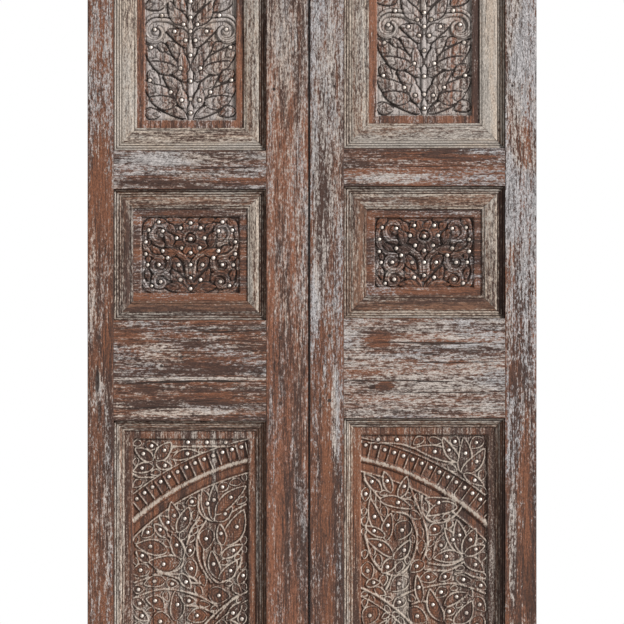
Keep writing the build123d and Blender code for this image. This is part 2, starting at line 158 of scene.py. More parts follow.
# Limewashed hardwood: a reddish brown board under what is left of a thin grey-white wash.
# A noise has its cells per metre across and along the grain, detail, roughness and distortion.
# A step is where a soft change begins and ends, and a line is a crack's width and where it is full.
woodNoises = (
    ("fibre", (340.0, 22.0), 5.0, 0.7),
    ("streak", (95.0, 7.0), 4.0, 0.62, 0.5),
    ("patch", (15.0, 3.0), 3.0, 0.55, 0.8),
    ("flake", (300.0, 125.0), 4.0, 0.7),
    ("tone", (34.0, 1.9), 3.0, 0.55),
    ("wave", (60.0, 6.5), 3.0, 0.6, 0.3),
    ("scale", (120.0, 52.0), 4.0, 0.65, 0.6),
    ("pores", (560.0, 14.0), 3.0, 0.6),
    ("speck", (560.0, 230.0), 2.0, 0.7),
)
woodBase = {
    "grain": "z",
    "seed": 0.0,
    "film": (0.30, 0.30),
    "filmHeights": (0.55, 1.9),
    "filmGains": (1.8, 1.4, 1.1, 2.3),
    "mask": (0.10, 0.74, 0.02, 0.95),
    "contrast": 1.0,
    "darkBrown": (0.055, 0.025, 0.017),
    "redBrown": (0.188, 0.070, 0.033),
    "warmWash": (0.50, 0.42, 0.36),
    "coolWash": (0.45, 0.415, 0.40),
    "speckle": 2.4,
    "darkest": 0.3,
    "crackle": 0.75,
    "scaly": 0.75,
    "fineCracks": 0.8,
    "crackDirtAndShadeColour": (0.022, 0.013, 0.010),
    "bump": 0.0008,
    "seedShift": (1.0, 0.7, 1.3),
    "flakeTints": (0.4, 0.5),
    "brownStep": (0.36, 0.62),
    "coolStep": (0.40, 0.62),
    "poreStep": (0.42, 0.33),
    "crackleLine": (0.013, 0.56),
    "scalyLine": (0.022, 0.60),
    "wornAndHighlitGains": (1.8, 1.2),
    "wornAndHighlitStep": (0.5, 1.05, 0.0, 0.85),
    "reliefShares": (0.5, 0.3, 0.2, -0.7),
    "roughness": (0.55, 0.85),
    "specular": 0.3,
    "edges": None,
    "edgeFilm": (0.004, -0.25),
    "edgeDirtAndShade": (0.0014, 0.85),
    "marks": {},
    "carved": None,
}
crackShape = {"core": 0.002, "begins": 0.40}
markShape = {"rise": 0.016, "drift": 0.004, "edge": (1.15, 0.7), "split": 0.5, "ragged": 1.8}


def markWeight(tree, split, grain, streak, wave, kind, mark):
    # amount inside the mark and 0 past its ragged edge; a split wanders along the grain
    u, v, halfWidth, halfHeight, amount = mark
    across = split.outputs["X"]
    up = split.outputs["Z"]
    if kind == "split" and grain == "x":
        up = total(tree, up, spread(tree, wave, markShape["rise"]))
    elif kind == "split":
        across = total(tree, across, spread(tree, wave, markShape["drift"]))
    squares = []
    for place, middle, half in ((across, toX(u), halfWidth), (up, toZ(v), halfHeight)):
        away = maths(tree, "SUBTRACT", place, middle)
        away = maths(tree, "DIVIDE", away, half * photo["perPixel"])
        squares.append(product(tree, away, away))
    away = maths(tree, "SQRT", total(tree, *squares))
    ragged = markShape["split" if kind == "split" else "ragged"]
    away = total(tree, away, spread(tree, streak, ragged))
    return product(tree, smooth(tree, away, *markShape["edge"]), amount)


def edgeBand(tree, split, edges, reach, amount):
    # amount at a board's own edges across the door, fading out within reach
    away = [
        maths(tree, "ABSOLUTE", maths(tree, "SUBTRACT", split.outputs[axis], level))
        for axis, level in edges
    ]
    closest = chain(tree, "MINIMUM", away[0], away[1:])
    return product(tree, smooth(tree, closest, reach, 0.0), amount)


def cracks(tree, course, where, width, full, amount):
    # Thin lines along the middle level of course, where the other noise runs high
    away = maths(tree, "ABSOLUTE", spread(tree, course))
    line = smooth(tree, away, width, crackShape["core"])
    return product(tree, line, smooth(tree, where, crackShape["begins"], full), amount)


def limewashedWood(name, **changes):
    look = {**woodBase, **changes}
    material, tree = newMaterial(name)
    place = addNode(tree, "ShaderNodeTexCoord", {}).outputs["Object"]
    split = addNode(tree, "ShaderNodeSeparateXYZ", {0: place})
    shift = [look["seed"] * share for share in look["seedShift"]]
    moved = addNode(tree, "ShaderNodeMapping", {"Vector": place, "Location": shift}).outputs[0]
    fibre, streak, patch, flake, tone, wave, scale, pores, speck = (
        noise(tree, moved, alongGrain(look["grain"], *look.get(key, cells)), *settings)
        for key, cells, *settings in woodNoises
    )

    # How much of the wash is left
    film = smooth(tree, split.outputs["Z"], *look["filmHeights"], *look["film"])
    for source, gain in zip((fibre, streak, patch, flake), look["filmGains"]):
        film = total(tree, film, spread(tree, source, gain * look["contrast"]))
    stainsAndPaintedShade = []
    for kind, marks in look["marks"].items():
        for mark in marks:
            weight = markWeight(tree, split, look["grain"], streak, wave, kind, mark)
            if kind == "film":
                film = total(tree, film, weight)
            else:
                stainsAndPaintedShade.append(weight)
    if look["carved"]:
        crest, pit, given = (attribute(tree, key) for key in ("crest", "pit", "film"))
        film = total(tree, film, given, product(tree, crest, look["carved"]["crestFilm"]))
        # The carving's hollows darken, partly dirt and partly painted shade in creases and round
        # raised parts
        stainsAndPaintedShade.append(product(tree, pit, look["carved"]["pitDirtAndShadeStrength"]))
    if look["edges"]:
        film = total(tree, film, edgeBand(tree, split, look["edges"], *look["edgeFilm"]))
        # Each board darkens at its edges: dirt in the joints and painted shade in the gaps between
        # parts
        stainsAndPaintedShade.append(edgeBand(tree, split, look["edges"], *look["edgeDirtAndShade"]))
    mask = smooth(tree, film, *look["mask"])

    # Colour: brown wood, wash over it, then cracks, dirt and painted shade in hollows, at edges and
    # under mouldings, and pale crests that are partly worn wash and partly painted highlight
    brownTint, coolTint = look["flakeTints"]
    shade = total(tree, tone, spread(tree, fibre), spread(tree, flake, brownTint))
    redness = smooth(tree, shade, *look["brownStep"])
    brown = mixColour(tree, redness, look["darkBrown"], look["redBrown"])
    cool = smooth(tree, total(tree, patch, spread(tree, flake, coolTint)), *look["coolStep"])
    wash = mixColour(tree, cool, look["warmWash"], look["coolWash"])
    speckle = total(tree, spread(tree, speck, look["speckle"]), 1.0)
    speckle = largest(tree, speckle, look["darkest"])
    colour = dimmed(tree, mixColour(tree, mask, brown, wash), speckle)
    crackle = cracks(tree, wave, streak, *look["crackleLine"], look["crackle"])
    scaly = cracks(tree, scale, patch, *look["scalyLine"], look["scaly"])
    fine = product(tree, smooth(tree, pores, *look["poreStep"]), look["fineCracks"])
    dirtAndPaintedShade = largest(tree, crackle, scaly, fine, *stainsAndPaintedShade)
    colour = mixColour(tree, dirtAndPaintedShade, colour, look["crackDirtAndShadeColour"])
    if look["carved"]:
        # Pale crests are partly worn wash and partly painted highlight on raised edges
        byFlake, byStreak = look["wornAndHighlitGains"]
        wornAndHighlit = total(tree, crest, spread(tree, flake, byFlake), spread(tree, streak, byStreak))
        pale = smooth(tree, wornAndHighlit, *look["wornAndHighlitStep"])
        colour = mixColour(tree, pale, colour, look["carved"]["crestColour"])
    layers = zip((fibre, mask, flake, dirtAndPaintedShade), look["reliefShares"])
    relief = total(tree, *(product(tree, layer, share) for layer, share in layers))
    roughness = smooth(tree, mask, 0.0, 1.0, *look["roughness"])
    inputs = {"Base Color": colour, "Roughness": roughness}
    inputs["Specular IOR Level"] = look["specular"]
    finishShader(tree, relief, look["bump"], inputs)
    return material


def plainMetal(name, colour, dark, roughness, metallic, spotScale=420.0):
    material, tree = newMaterial(name)
    place = addNode(tree, "ShaderNodeTexCoord", {}).outputs["Object"]
    spots = smooth(tree, noise(tree, place, (spotScale,) * 3, 4.0, 0.75), 0.42, 0.66)
    inputs = {
        "Base Color": mixColour(tree, spots, colour, dark),
        "Roughness": smooth(tree, spots, 0.0, 1.0, roughness, roughness + 0.25),
        "Metallic": metallic,
    }
    finishShader(tree, spots, 0.0002, inputs)
    return material


def useMaterial(node, material):
    for slot in cadNodes[node].material_slots:
        slot.material = material


# Stiles and rails: grain, wash left at the foot and at the top, and the marks that age has left.
# A mark is its middle and half size in photograph pixels, and how strong it is.
rightWash = {"warmWash": (0.50, 0.44, 0.395), "coolWash": (0.45, 0.43, 0.43)}
boards = {
    "left_hanging_stile": {
        "grain": "z", "film": (0.02, 0.14), "contrast": 1.25,
        "marks": {
            "film": (
                (100, 280, 14, 70, 0.1), (108, 60, 5, 60, 0.3), (93, 178, 4, 30, -0.3),
                (104, 235, 6, 40, -0.15), (92, 290, 4, 60, 0.4), (107, 345, 6, 28, -0.3),
                (95, 388, 9, 24, 0.35), (107, 520, 5, 80, 0.35),
            ),
            "stainAndShadow": ((97, 382, 2.4, 17, 0.9), (99, 412, 2.0, 15, 0.7)),
        },
    },
    "left_meeting_stile": {
        "grain": "z", "film": (0.06, 0.36), "contrast": 0.85, "crackle": 0.4,
        "redBrown": (0.215, 0.082, 0.042),
        "marks": {
            "film": (
                (274, 360, 6, 60, -0.2), (300, 300, 5, 110, 0.12), (285, 470, 10, 60, -0.25),
                (283, 60, 12, 60, 0.15),
            ),
            "stainAndShadow": ((274, 89, 1.5, 1.5, 0.95),),
        },
    },
    "right_meeting_stile": {
        "grain": "z", "film": (0.06, 0.5), **rightWash,
        "marks": {
            "film": (
                (319, 365, 6, 50, -0.25), (335, 420, 5, 60, 0.4), (316, 300, 5, 40, 0.35),
                (326, 500, 12, 60, -0.15),
            ),
            "stainAndShadow": ((334, 86, 1.5, 1.5, 0.95),),
        },
    },
    "right_hanging_stile": {
        "grain": "z", "film": (0.08, 0.6), "contrast": 1.35, **rightWash,
        "marks": {
            "film": ((511, 385, 4, 22, -0.4), (512, 545, 4, 70, 0.55), (528, 560, 7, 70, -0.35)),
            "stainAndShadow": ((530, 590, 5, 36, 0.5), (512, 86, 1.4, 1.4, 0.95)),
        },
    },
    "left_frieze_rail": {
        "grain": "x", "film": (0.31, 0.31),
        "marks": {
            "film": ((170, 158, 40, 7, 0.35), (150, 180, 40, 6, -0.3), (235, 182, 30, 5, -0.4)),
            "split": ((225, 168, 40, 0.9, 0.8),),
        },
    },
    "right_frieze_rail": {
        "grain": "x", "film": (0.24, 0.24), **rightWash,
        "marks": {
            "film": ((430, 156, 60, 5, -0.35), (390, 178, 40, 6, 0.3)),
            "split": ((440, 166, 50, 0.8, 0.85),),
        },
    },
    "left_lock_rail": {
        "grain": "x", "film": (0.2, 0.2), "contrast": 1.1,
        "marks": {
            "film": (
                (230, 364, 50, 8, -0.3), (215, 398, 34, 8, -0.25), (160, 352, 22, 8, 0.3),
                (190, 379, 80, 2.2, 0.5), (180, 357, 3, 4, 0.3), (160, 366, 4, 4, 0.3),
                (150, 388, 12, 4, -0.5), (180, 412, 60, 4, 0.5),
            ),
            "split": (
                (188, 382, 72, 1.1, 0.95), (225, 331, 35, 0.8, 0.8), (150, 408, 40, 0.9, 0.8),
            ),
            "stainAndShadow": ((181, 357, 1.6, 2.4, 0.8), (161, 366, 1.8, 2.0, 0.85)),
        },
    },
    "right_lock_rail": {
        "grain": "x", "film": (0.47, 0.47), **rightWash,
        "marks": {
            "film": (
                (378, 338, 14, 9, -0.4), (470, 352, 40, 6, -0.3), (420, 385, 60, 14, 0.15),
                (385, 386, 10, 5, -0.5),
            ),
            "split": (
                (430, 343, 70, 0.9, 0.85), (455, 362, 50, 0.8, 0.85), (400, 381, 60, 0.9, 0.9),
                (440, 393, 60, 0.8, 0.8),
            ),
            "stainAndShadow": ((372, 387, 3.0, 2.6, 0.7), (395, 412, 3.4, 2.0, 0.6)),
        },
    },
    "left_top_rail": {"grain": "x", "film": (0.35, 0.35)},
    "right_top_rail": {"grain": "x", "film": (0.45, 0.45), **rightWash},
    "left_bottom_rail": {"grain": "x", "film": (0.15, 0.15)},
    "right_bottom_rail": {"grain": "x", "film": (0.18, 0.18), **rightWash},
}
plainBoards = {"sill": "x", "head": "x", "left_jamb": "z", "right_jamb": "z"}


def finishBoards():
    for count, (node, look) in enumerate(boards.items()):
        axis = "x" if look["grain"] == "z" else "z"
        edges = [(axis.upper(), getattr(corner, axis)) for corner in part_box(node)]
        seed = 3.1 + count * 1.7
        useMaterial(node, limewashedWood(node + "_wood", seed=seed, edges=edges, **look))
    for count, (node, grain) in enumerate(plainBoards.items()):
        look = {"grain": grain, "seed": 41.0 + count, "film": (0.16, 0.28)}
        useMaterial(node, limewashedWood(node + "_wood", **look))
    iron = plainMetal("pivot_iron", (0.09, 0.075, 0.065), (0.035, 0.018, 0.012), 0.5, 0.7)
    for node in ("sill_sockets", "head_sockets", "left_pivots", "right_pivots"):
        useMaterial(node, iron)
    pegEnd = limewashedWood("peg_wood", film=(-0.4, -0.4), redBrown=(0.05, 0.03, 0.022))
    for node in ("left_pegs", "right_pegs"):
        useMaterial(node, pegEnd)
    print("boards finished:", len(boards))


finishBoards()


# Carving tools. A canvas is a grid of heights over one opening; strokes are in photograph pixels.
def newCanvas(xRange, zRange, cell):
    columns, rows = (int(round((high - low) / cell)) + 1 for low, high in (xRange, zRange))
    x, z = np.meshgrid(np.linspace(*xRange, columns), np.linspace(*zRange, rows))
    canvas = {"x": x, "z": z, "u": toPixelU(x), "v": toPixelV(z), "studs": []}
    for key in ("height", "crest", "pit", "film"):
        canvas[key] = np.zeros(x.shape)
    canvas["taken"] = np.zeros(x.shape, bool)
    return canvas


def window(canvas, points, margin):
    # The part of the grid that lies near the points
    points = np.asarray(points, float)
    near = []
    levels = (canvas["u"][0], canvas["v"][:, 0])
    for level, low, high in zip(levels, points.min(0) - margin, points.max(0) + margin):
        inside = np.nonzero((level >= low) & (level <= high))[0]
        if not len(inside):
            return None
        near.append(slice(inside[0], inside[-1] + 1))
    return near[1], near[0]


def polar(centre, radius, turn):
    return centre[0] + radius * math.cos(turn), centre[1] + radius * math.sin(turn)


def curve(points, steps=5):
    # A smooth line through the points
    points = np.asarray(points, float)
    if len(points) < 3:
        return points
    guides = np.vstack([2 * points[0] - points[1], points, 2 * points[-1] - points[-2]])
    line = []
    for a, b, c, d in zip(guides, guides[1:], guides[2:], guides[3:]):
        for share in np.arange(steps) / steps:
            bend = (2 * a - 5 * b + 4 * c - d) * share**2
            twist = (3 * b - a - 3 * c + d) * share**3
            line.append(0.5 * (2 * b + (c - a) * share + bend + twist))
    line.append(guides[-2])
    return np.array(line)


def nearest(canvas, area, line):
    # Distance to a line, and the share of the way along it, at each grid point of the area
    u = canvas["u"][area]
    v = canvas["v"][area]
    best = np.full(u.shape, 1e9)
    share = np.zeros(u.shape)
    for index, (start, end) in enumerate(zip(line, line[1:])):
        du, dv = end - start
        along = ((u - start[0]) * du + (v - start[1]) * dv) / (du * du + dv * dv + 1e-9)
        along = np.clip(along, 0, 1)
        away = np.hypot(u - start[0] - along * du, v - start[1] - along * dv)
        closer = away < best
        best = np.where(closer, away, best)
        share = np.where(closer, (index + along) / (len(line) - 1), share)
    return best, share


def put(canvas, key, area, where, values):
    canvas[key][area] = np.where(where, values, canvas[key][area])


def raiseTo(canvas, area, height, where):
    put(canvas, "height", area, where, np.maximum(canvas["height"][area], height))
    canvas["taken"][area] |= where


def mark(canvas, key, area, values):
    canvas[key][area] = np.maximum(canvas[key][area], values)


def ridge(canvas, points, *shape, **finish):
    # A raised rounded line that runs smoothly through the points
    drawRidge(canvas, curve(points), *shape, **finish)


def ring(canvas, centre, radius, *shape, arc=(0, 360), **finish):
    angles = np.radians(np.linspace(*arc, 40))
    line = [centre[0] + radius * np.cos(angles), centre[1] + radius * np.sin(angles)]
    drawRidge(canvas, np.column_stack(line), *shape, **finish)


ridgeShape = {
    "shoulder": 0.35,
    "swell": 0.65,
    "cutHalf": 0.7,
    "cutSeen": 0.2,
    "cutDirtAndShade": 0.7,
    "cutPale": 0.6,
    "paleReach": 1.25,
    "skirtAway": 0.6,
    "skirtHalf": 0.8,
}


def drawRidge(canvas, line, width, height, taper=0.0, crest=1.0, groove=0.0):
    # Width in pixels and height in mm, with a cut along its top where groove is given
    look = ridgeShape
    area = window(canvas, line, width + 3)
    if area is None:
        return
    away, share = nearest(canvas, area, line)
    half = width / 2 * (1 - taper * share)
    profile = np.sqrt(np.clip(1 - (away / half) ** 2, 0, 1))
    cut = groove * np.clip(1 - away / look["cutHalf"], 0, 1)
    swell = look["shoulder"] + look["swell"] * profile
    raiseTo(canvas, area, height * swell - cut, away < half)
    pale = crest * np.clip(look["paleReach"] - away / half, 0, 1)
    mark(canvas, "crest", area, pale * (1 - look["cutPale"] * (cut > 0)))
    # A dark band just outside the ridge's foot is painted shadow, and the dark in the cut along its
    # top is painted shade
    skirt = np.clip(1 - np.abs(away - half - look["skirtAway"]) / look["skirtHalf"], 0, 1)
    skirt *= away > half
    mark(canvas, "pit", area, np.maximum(skirt, (cut > look["cutSeen"]) * look["cutDirtAndShade"]))


def leafFrame(canvas, base, tip, width, bend):
    # Place along a leaf (0 to 1), how far across it in pixels, and half its width, near it
    base = np.asarray(base, float)
    tip = np.asarray(tip, float)
    area = window(canvas, [base, tip], width + abs(bend) + 2)
    if area is None:
        return None
    length = np.hypot(*(tip - base))
    along = (tip - base) / length
    du = canvas["u"][area] - base[0]
    dv = canvas["v"][area] - base[1]
    s = (du * along[0] + dv * along[1]) / length
    inside = np.clip(s, 0, 1)
    t = -du * along[1] + dv * along[0] - bend * np.sin(math.pi * inside)
    half = width / 2 * np.sin(math.pi * inside**0.8) ** 0.75 + 0.05
    return area, s, t, half, length


def addStud(canvas, place, apart=6.0):
    if all(math.dist(place, other) > apart for other in canvas["studs"]):
        canvas["studs"].append(place)


def leafStud(canvas, base, tip, bend, share):
    # A stud that far along a bent leaf's middle
    du = tip[0] - base[0]
    dv = tip[1] - base[1]
    lift = bend * math.sin(math.pi * share)
    length = math.hypot(du, dv)
    u = base[0] + du * share - dv / length * lift
    v = base[1] + dv * share + du / length * lift
    addStud(canvas, (u, v))


lobeShape = {"rim": 3.2, "floor": 1.3, "veins": 0.7, "veinGap": 3.4, "film": -0.24}
leafShape = {"fold": 1.0, "vein": 1.2, "film": -0.28, "skirt": 1.9}


def outlinedLobe(canvas, base, tip, width, bend=0.0, line=1.25, stud=0.55):
    # A lobe with a thin raised outline round a sunk, veined and slightly domed middle
    found = leafFrame(canvas, base, tip, width, bend)
    if found is None:
        return
    area, s, t, half, length = found
    look = lobeShape
    out = np.abs(t)
    within = (s > -0.02) & (s < 1.02)
    away = np.abs(out - half)
    edge = within & (away < line) & (out < half + line)
    middle = within & (out < half - line * 0.6)
    veins = np.clip(np.cos(2 * math.pi * (s * length - out * 0.9) / look["veinGap"]), 0, 1)
    dome = look["floor"] * np.sqrt(np.clip(1 - (t / half) ** 2, 0, 1)) + 0.5
    put(canvas, "height", area, middle, dome - look["veins"] * veins * (out > 0.6))
    put(canvas, "crest", area, middle, 0.1)
    put(canvas, "film", area, middle, 0.05 * (1 - veins) + look["film"])
    # The vein grooves are darkened as painted shade
    put(canvas, "pit", area, middle, look["veins"] * veins)
    canvas["taken"][area] |= within & (out < half)
    raiseTo(canvas, area, look["rim"] * np.sqrt(np.clip(1 - (away / line) ** 2, 0, 1)), edge)
    mark(canvas, "crest", area, np.where(edge, 1.2 - away / line, 0).clip(0, 1))
    spine = within & (out < 0.5) & (s > 0.08) & (s < 0.75) & (half > 3.2)
    raiseTo(canvas, area, look["rim"] * 0.6, spine)
    mark(canvas, "crest", area, np.where(spine, 0.55, 0))
    # A dark band just inside the rim is painted shade, and one just outside it is painted shadow
    mark(canvas, "pit", area, np.where(middle & (out > half - line * 1.7), 0.8, 0))
    outer = within & (out > half + line) & (out < half + line + 0.9)
    mark(canvas, "pit", area, np.where(outer & (canvas["crest"][area] < 0.4), 0.7, 0))
    if stud:
        leafStud(canvas, base, tip, bend, stud)


def raisedLeaf(canvas, base, tip, width, bend=0.0, rise=4.2, folds=0):
    # A rounded leaf that stands up from the ground, with a cut vein and folds across it
    found = leafFrame(canvas, base, tip, width, bend)
    if found is None:
        return
    area, s, t, half, length = found
    look = leafShape
    within = (s > 0) & (s < 1)
    across = np.abs(t) / half
    body = within & (across < 1)
    swell = rise * (0.5 + 0.5 * np.sqrt(np.clip(1 - across**2, 0, 1)))
    cuts = np.zeros(s.shape)
    if folds:
        cuts = np.clip(np.cos(2 * math.pi * (folds * s - across * 0.7)), 0, 1) * (across < 0.93)
    vein = np.clip(1 - np.abs(t) / 0.6, 0, 1) * (s < 0.85)
    raiseTo(canvas, area, swell - look["fold"] * cuts - look["vein"] * vein, body)
    # The leaf is pale all over, with a painted highlight in a band near its edges
    browHighlight = 0.30 + 0.25 * (across > 0.6) * (across < 0.9)
    mark(canvas, "crest", area, np.where(body, browHighlight, 0))
    # The vein and folds are darkened as painted shade in the creases
    put(canvas, "pit", area, body, np.maximum(vein * 0.9, cuts**2 * 0.85))
    put(canvas, "film", area, body, look["film"])
    # A dark band round the leaf's foot is painted shadow
    skirt = within & (across >= 1) & (np.abs(t) < half + look["skirt"])
    mark(canvas, "pit", area, np.where(skirt, 1.0, 0))


def spiral(centre, outer, inner, start, turns, steps=22):
    # Points of a scroll; angles in degrees from the right, clockwise as seen on the door
    points = []
    for step in range(steps + 1):
        share = step / steps
        angle = math.radians(start + turns * 360 * share)
        points.append(polar(centre, outer + (inner - outer) * share**0.8, angle))
    return points


def bump(canvas, centre, radius, height):
    area = window(canvas, [centre], radius + 3)
    if area is None:
        return
    away = np.hypot(canvas["u"][area] - centre[0], canvas["v"][area] - centre[1])
    dome = np.sqrt(np.clip(1 - (away / radius) ** 2, 0, 1))
    raiseTo(canvas, area, height * dome, away < radius)
    # A dark band round the boss's foot is painted shadow
    skirt = np.clip(1 - np.abs(away - radius - 0.6) / 0.9, 0, 1) * (away > radius)
    mark(canvas, "pit", area, skirt * 0.8)


def openGround(canvas, field):
    # Pixels from each open point of the field to the nearest carving, counted step by step
    inside = (canvas["u"] > field[0] + 1) & (canvas["u"] < field[1] - 1)
    inside &= (canvas["v"] < field[2] - 1) & (canvas["v"] > field[3] + 1)
    covered = canvas["taken"] | ~inside
    away = np.zeros(covered.shape)
    cell = canvas["u"][0, 1] - canvas["u"][0, 0]
    for step in range(int(12 / cell)):
        away += ~covered
        grown = covered.copy()
        grown[1:] |= covered[:-1]
        grown[:-1] |= covered[1:]
        sideways = grown if step % 2 else covered
        grown = grown.copy()
        grown[:, 1:] |= sideways[:, :-1]
        grown[:, :-1] |= sideways[:, 1:]
        covered = grown
    return away * cell, cell


def fillGaps(canvas, field, leaf, smallest, most):
    # Small leaves in the open ground, the widest gap first, each along its gap's longest way
    away, cell = openGround(canvas, field)
    for _ in range(most):
        row, column = np.unravel_index(away.argmax(), away.shape)
        reach = away[row, column]
        if reach < smallest:
            break
        best = (-1.0, 0.0)
        for turn in np.arange(8) * math.pi / 8 + 0.2:
            room = 0.0
            for way in (-1, 1):
                down = row - way * math.sin(turn) * reach * 1.1 / cell
                along = column + way * math.cos(turn) * reach * 1.1 / cell
                down = int(np.clip(down, 0, away.shape[0] - 1))
                along = int(np.clip(along, 0, away.shape[1] - 1))
                room += away[down, along]
            best = max(best, (room, turn))
        room, turn = best
        half = min(reach * 0.9 + room * 0.45, 11.0)
        u = canvas["u"][row, column]
        v = canvas["v"][row, column]
        du = half * math.cos(turn)
        dv = half * math.sin(turn)
        leaf(canvas, (u - du, v - dv), (u + du, v + dv), reach)
        for share in (-0.6, 0.0, 0.6):
            near = np.hypot(canvas["u"] - u - du * share, canvas["v"] - v - dv * share)
            away = np.minimum(away, np.clip(near - reach * 0.95, 0, None))


def fillerLobe(canvas, base, tip, reach):
    stud = 0.5 if reach > 4.6 else 0
    outlinedLobe(canvas, base, tip, reach * 1.7, reach * 0.15, line=1.0, stud=stud)


def fillerLeaf(canvas, base, tip, reach):
    raisedLeaf(canvas, base, tip, reach * 1.5, reach * 0.2, 3.8, 2)


# Upper panels: a stem with fans of leaves and scrolls, in tiers. Offsets are pixels from the stem
# and the foot.
upperCarving = {
    "tiers": 4,
    "rise": 112.0,
    "root": ((27, 12), (14, 9), (5, 1)),
    # base across, base up, tip across, tip up, width, bend, folds
    "fans": (
        (12, 20, 48, 39, 17, 4, 5), (14, 17, 41, 22, 12, 2, 4), (10, 21, 27, 45, 12, -3, 3),
        (5, 12, 10, 32, 11, 1, 0), (4, 40, 22, 50, 11, -3, 3), (10, 52, 48, 76, 17, 4, 5),
        (14, 50, 40, 58, 11, 2, 4), (9, 58, 24, 79, 11, -3, 3), (4, 48, 9, 68, 10, 1, 0),
        (3, 74, 24, 90, 13, -4, 4), (3, 96, 22, 119, 12, 3, 3),
    ),
    "scroll": (35, 89, 13.0, 4.6),
    "studPairs": (
        (9, 20), (20, 28), (41, 40), (10, 52), (40, 73), (5, 80), (16, 89), (36, 91), (7, 96),
        (29, 105),
    ),
    "studStem": (7, 21, 39, 65, 89, 103),
}


def upperMotif(canvas, stem, foot, top):
    look = upperCarving
    aside, rise, outer, inner = look["scroll"]
    for side in (-1, 1):
        root = [(stem + side * across, foot - up) for across, up in look["root"]]
        ridge(canvas, root, 4.6, 4.0, crest=0.4, groove=0.8)
        leaf = (stem + side * 4, foot - 3), (stem + side * 33, foot - 13)
        raisedLeaf(canvas, *leaf, 9, -side * 2.0, folds=3)
        for tier in range(look["tiers"]):
            level = foot - tier * look["rise"]
            centre = (stem + side * aside, level - rise)
            if centre[1] - outer > top:
                upperScroll(canvas, stem, side, centre, outer, inner)
            for baseX, baseY, tipX, tipY, width, bend, folds in look["fans"]:
                base = (stem + side * baseX, level - baseY)
                tip = (stem + side * tipX, level - tipY)
                if tip[1] > top + 3:
                    raisedLeaf(canvas, base, tip, width, side * bend, 4.3, folds)
            for offset, up in look["studPairs"]:
                if level - up > top + 4:
                    addStud(canvas, (stem + side * offset, level - up))
    for tier in range(look["tiers"]):
        for up in look["studStem"]:
            if foot - tier * look["rise"] - up > top + 4:
                addStud(canvas, (stem, foot - tier * look["rise"] - up))
    trunk = [(stem, foot), (stem - 0.6, foot - (foot - top) / 2), (stem, top + 4)]
    ridge(canvas, trunk, 5.0, 4.4, crest=0.4)


def upperScroll(canvas, stem, side, centre, outer, inner):
    for offset in (0.0, 4.2):
        reach = ((1.5, 2), (10, -8), (20, -15))
        coil = [(stem + side * across, centre[1] + down + offset) for across, down in reach]
        for angle in range(-100, 260, 24):
            share = (angle + 100) / 360
            radius = (outer + 3.5 - offset) * (1 - share) + inner * share
            u, v = polar((0.0, centre[1]), radius, math.radians(angle))
            coil.append((centre[0] + side * u, v))
        ridge(canvas, coil, 3.6, 4.3, taper=0.2, crest=0.45)
    bump(canvas, centre, 3.6, 4.2)


# Middle panels: a ringed rosette on two spreading stems, and scrolls towards each corner.
# Places are pixels across and down from the panel's middle, the same on both sides.
middleCarving = {
    "heart": -16.5,
    # eye across and down, outer radius, start angle, turns
    "scrolls": (
        (30.5, -23, 12.5, 100, -0.98), (32.5, 9.5, 12, 210, -1.0), (30.5, 27, 10.5, 200, 1.0),
    ),
    # width, height, taper, crest and groove of each stem, then its places
    "stems": (
        ((4.4, 4.2, 0.0, 0.35, 0.7), ((43, -32), (47, -18), (45, -6), (37, 1), (28, 3))),
        ((4.6, 4.2, 0.0, 0.4, 0.7), ((47, 6), (49, 22), (43, 34), (30, 38))),
        ((6.5, 5.0, 0.4, 0.5, 1.0), ((2, 20), (4, 6), (13, -2), (22, -8), (25, -17))),
    ),
    # base, tip, width, bend, rise, folds
    "leaves": (
        ((13, -3), (31, -5), 9, 2, 4.2, 2), ((20, -8), (26, -24), 8, -2, 4.2, 2),
        ((0, 37), (19, 14), 12, 3, 4.4, 3), ((3, 37), (26, 32), 10, -2, 4.0, 3),
        ((38, -36), (48, -24), 8, 0, 3.6, 2), ((8, -33), (25, -36), 8, 0, 3.6, 2),
    ),
    "studPairs": (
        (32, -33), (42, -25), (28, -24), (10, -27), (14, -17), (45, -13), (28, -4), (9, -7),
        (45, -1), (23, 3), (43, 10), (32, 10), (12, 10), (10, 25), (30, 27), (39, 31),
    ),
    "studStem": (-32, -16, -2, 10, 23, 34),
}


def middleMotif(canvas, centreU, centreV):
    look = middleCarving
    heart = (centreU, centreV + look["heart"])
    for angle in range(0, 360, 45):
        turn = math.radians(angle + 22)
        raisedLeaf(canvas, polar(heart, 6, turn), polar(heart, 17, turn), 9.5, 0, 3.6)
    for side in (-1, 1):

        def at(across, down):
            return (centreU + side * across, centreV + down)

        for across, down, outer, start, turns in look["scrolls"]:
            points = [at(across + u, down + v) for u, v in spiral((0, 0), outer, 3.6, start, turns)]
            ridge(canvas, points, 5.4, 4.8, taper=0.3, crest=0.32, groove=0.9)
            bump(canvas, at(across, down), 3.4, 4.2)
        for shape, places in look["stems"]:
            ridge(canvas, [at(*place) for place in places], *shape)
        for base, tip, width, bend, rise, folds in look["leaves"]:
            raisedLeaf(canvas, at(*base), at(*tip), width, side * bend, rise, folds)
        for place in look["studPairs"]:
            addStud(canvas, at(*place))
    ring(canvas, heart, 6.8, 2.6, 4.8, crest=0.6)
    for down in look["studStem"]:
        addStud(canvas, (centreU, centreV + down))


# Lower panels: half of a great arch on each leaf, about a point on the meeting line.
# A lobe's numbers are base across and down, tip across and down, width and bend, in pixels.
lowerCarving = {
    "centre": (308.0, 715.0),
    "arches": ((282.0, 1.6, 3.6), (261.5, 6.5, 4.4), (249.0, 2.4, 4.2)),
    "toothAngle": 2.05,
    "lastTooth": 62,
    "teeth": (264.5, 279.0),
    "wreath": ((137.0, 3.0, 4.4), (129.0, 1.6, 3.2)),
    "fans": ((66, 122, 16), (22, 60, 24)),
    "strips": {-1: (171, 247, 439, 446), 1: (362, 415, 436, 443)},
    "photoFoot": 626,
}

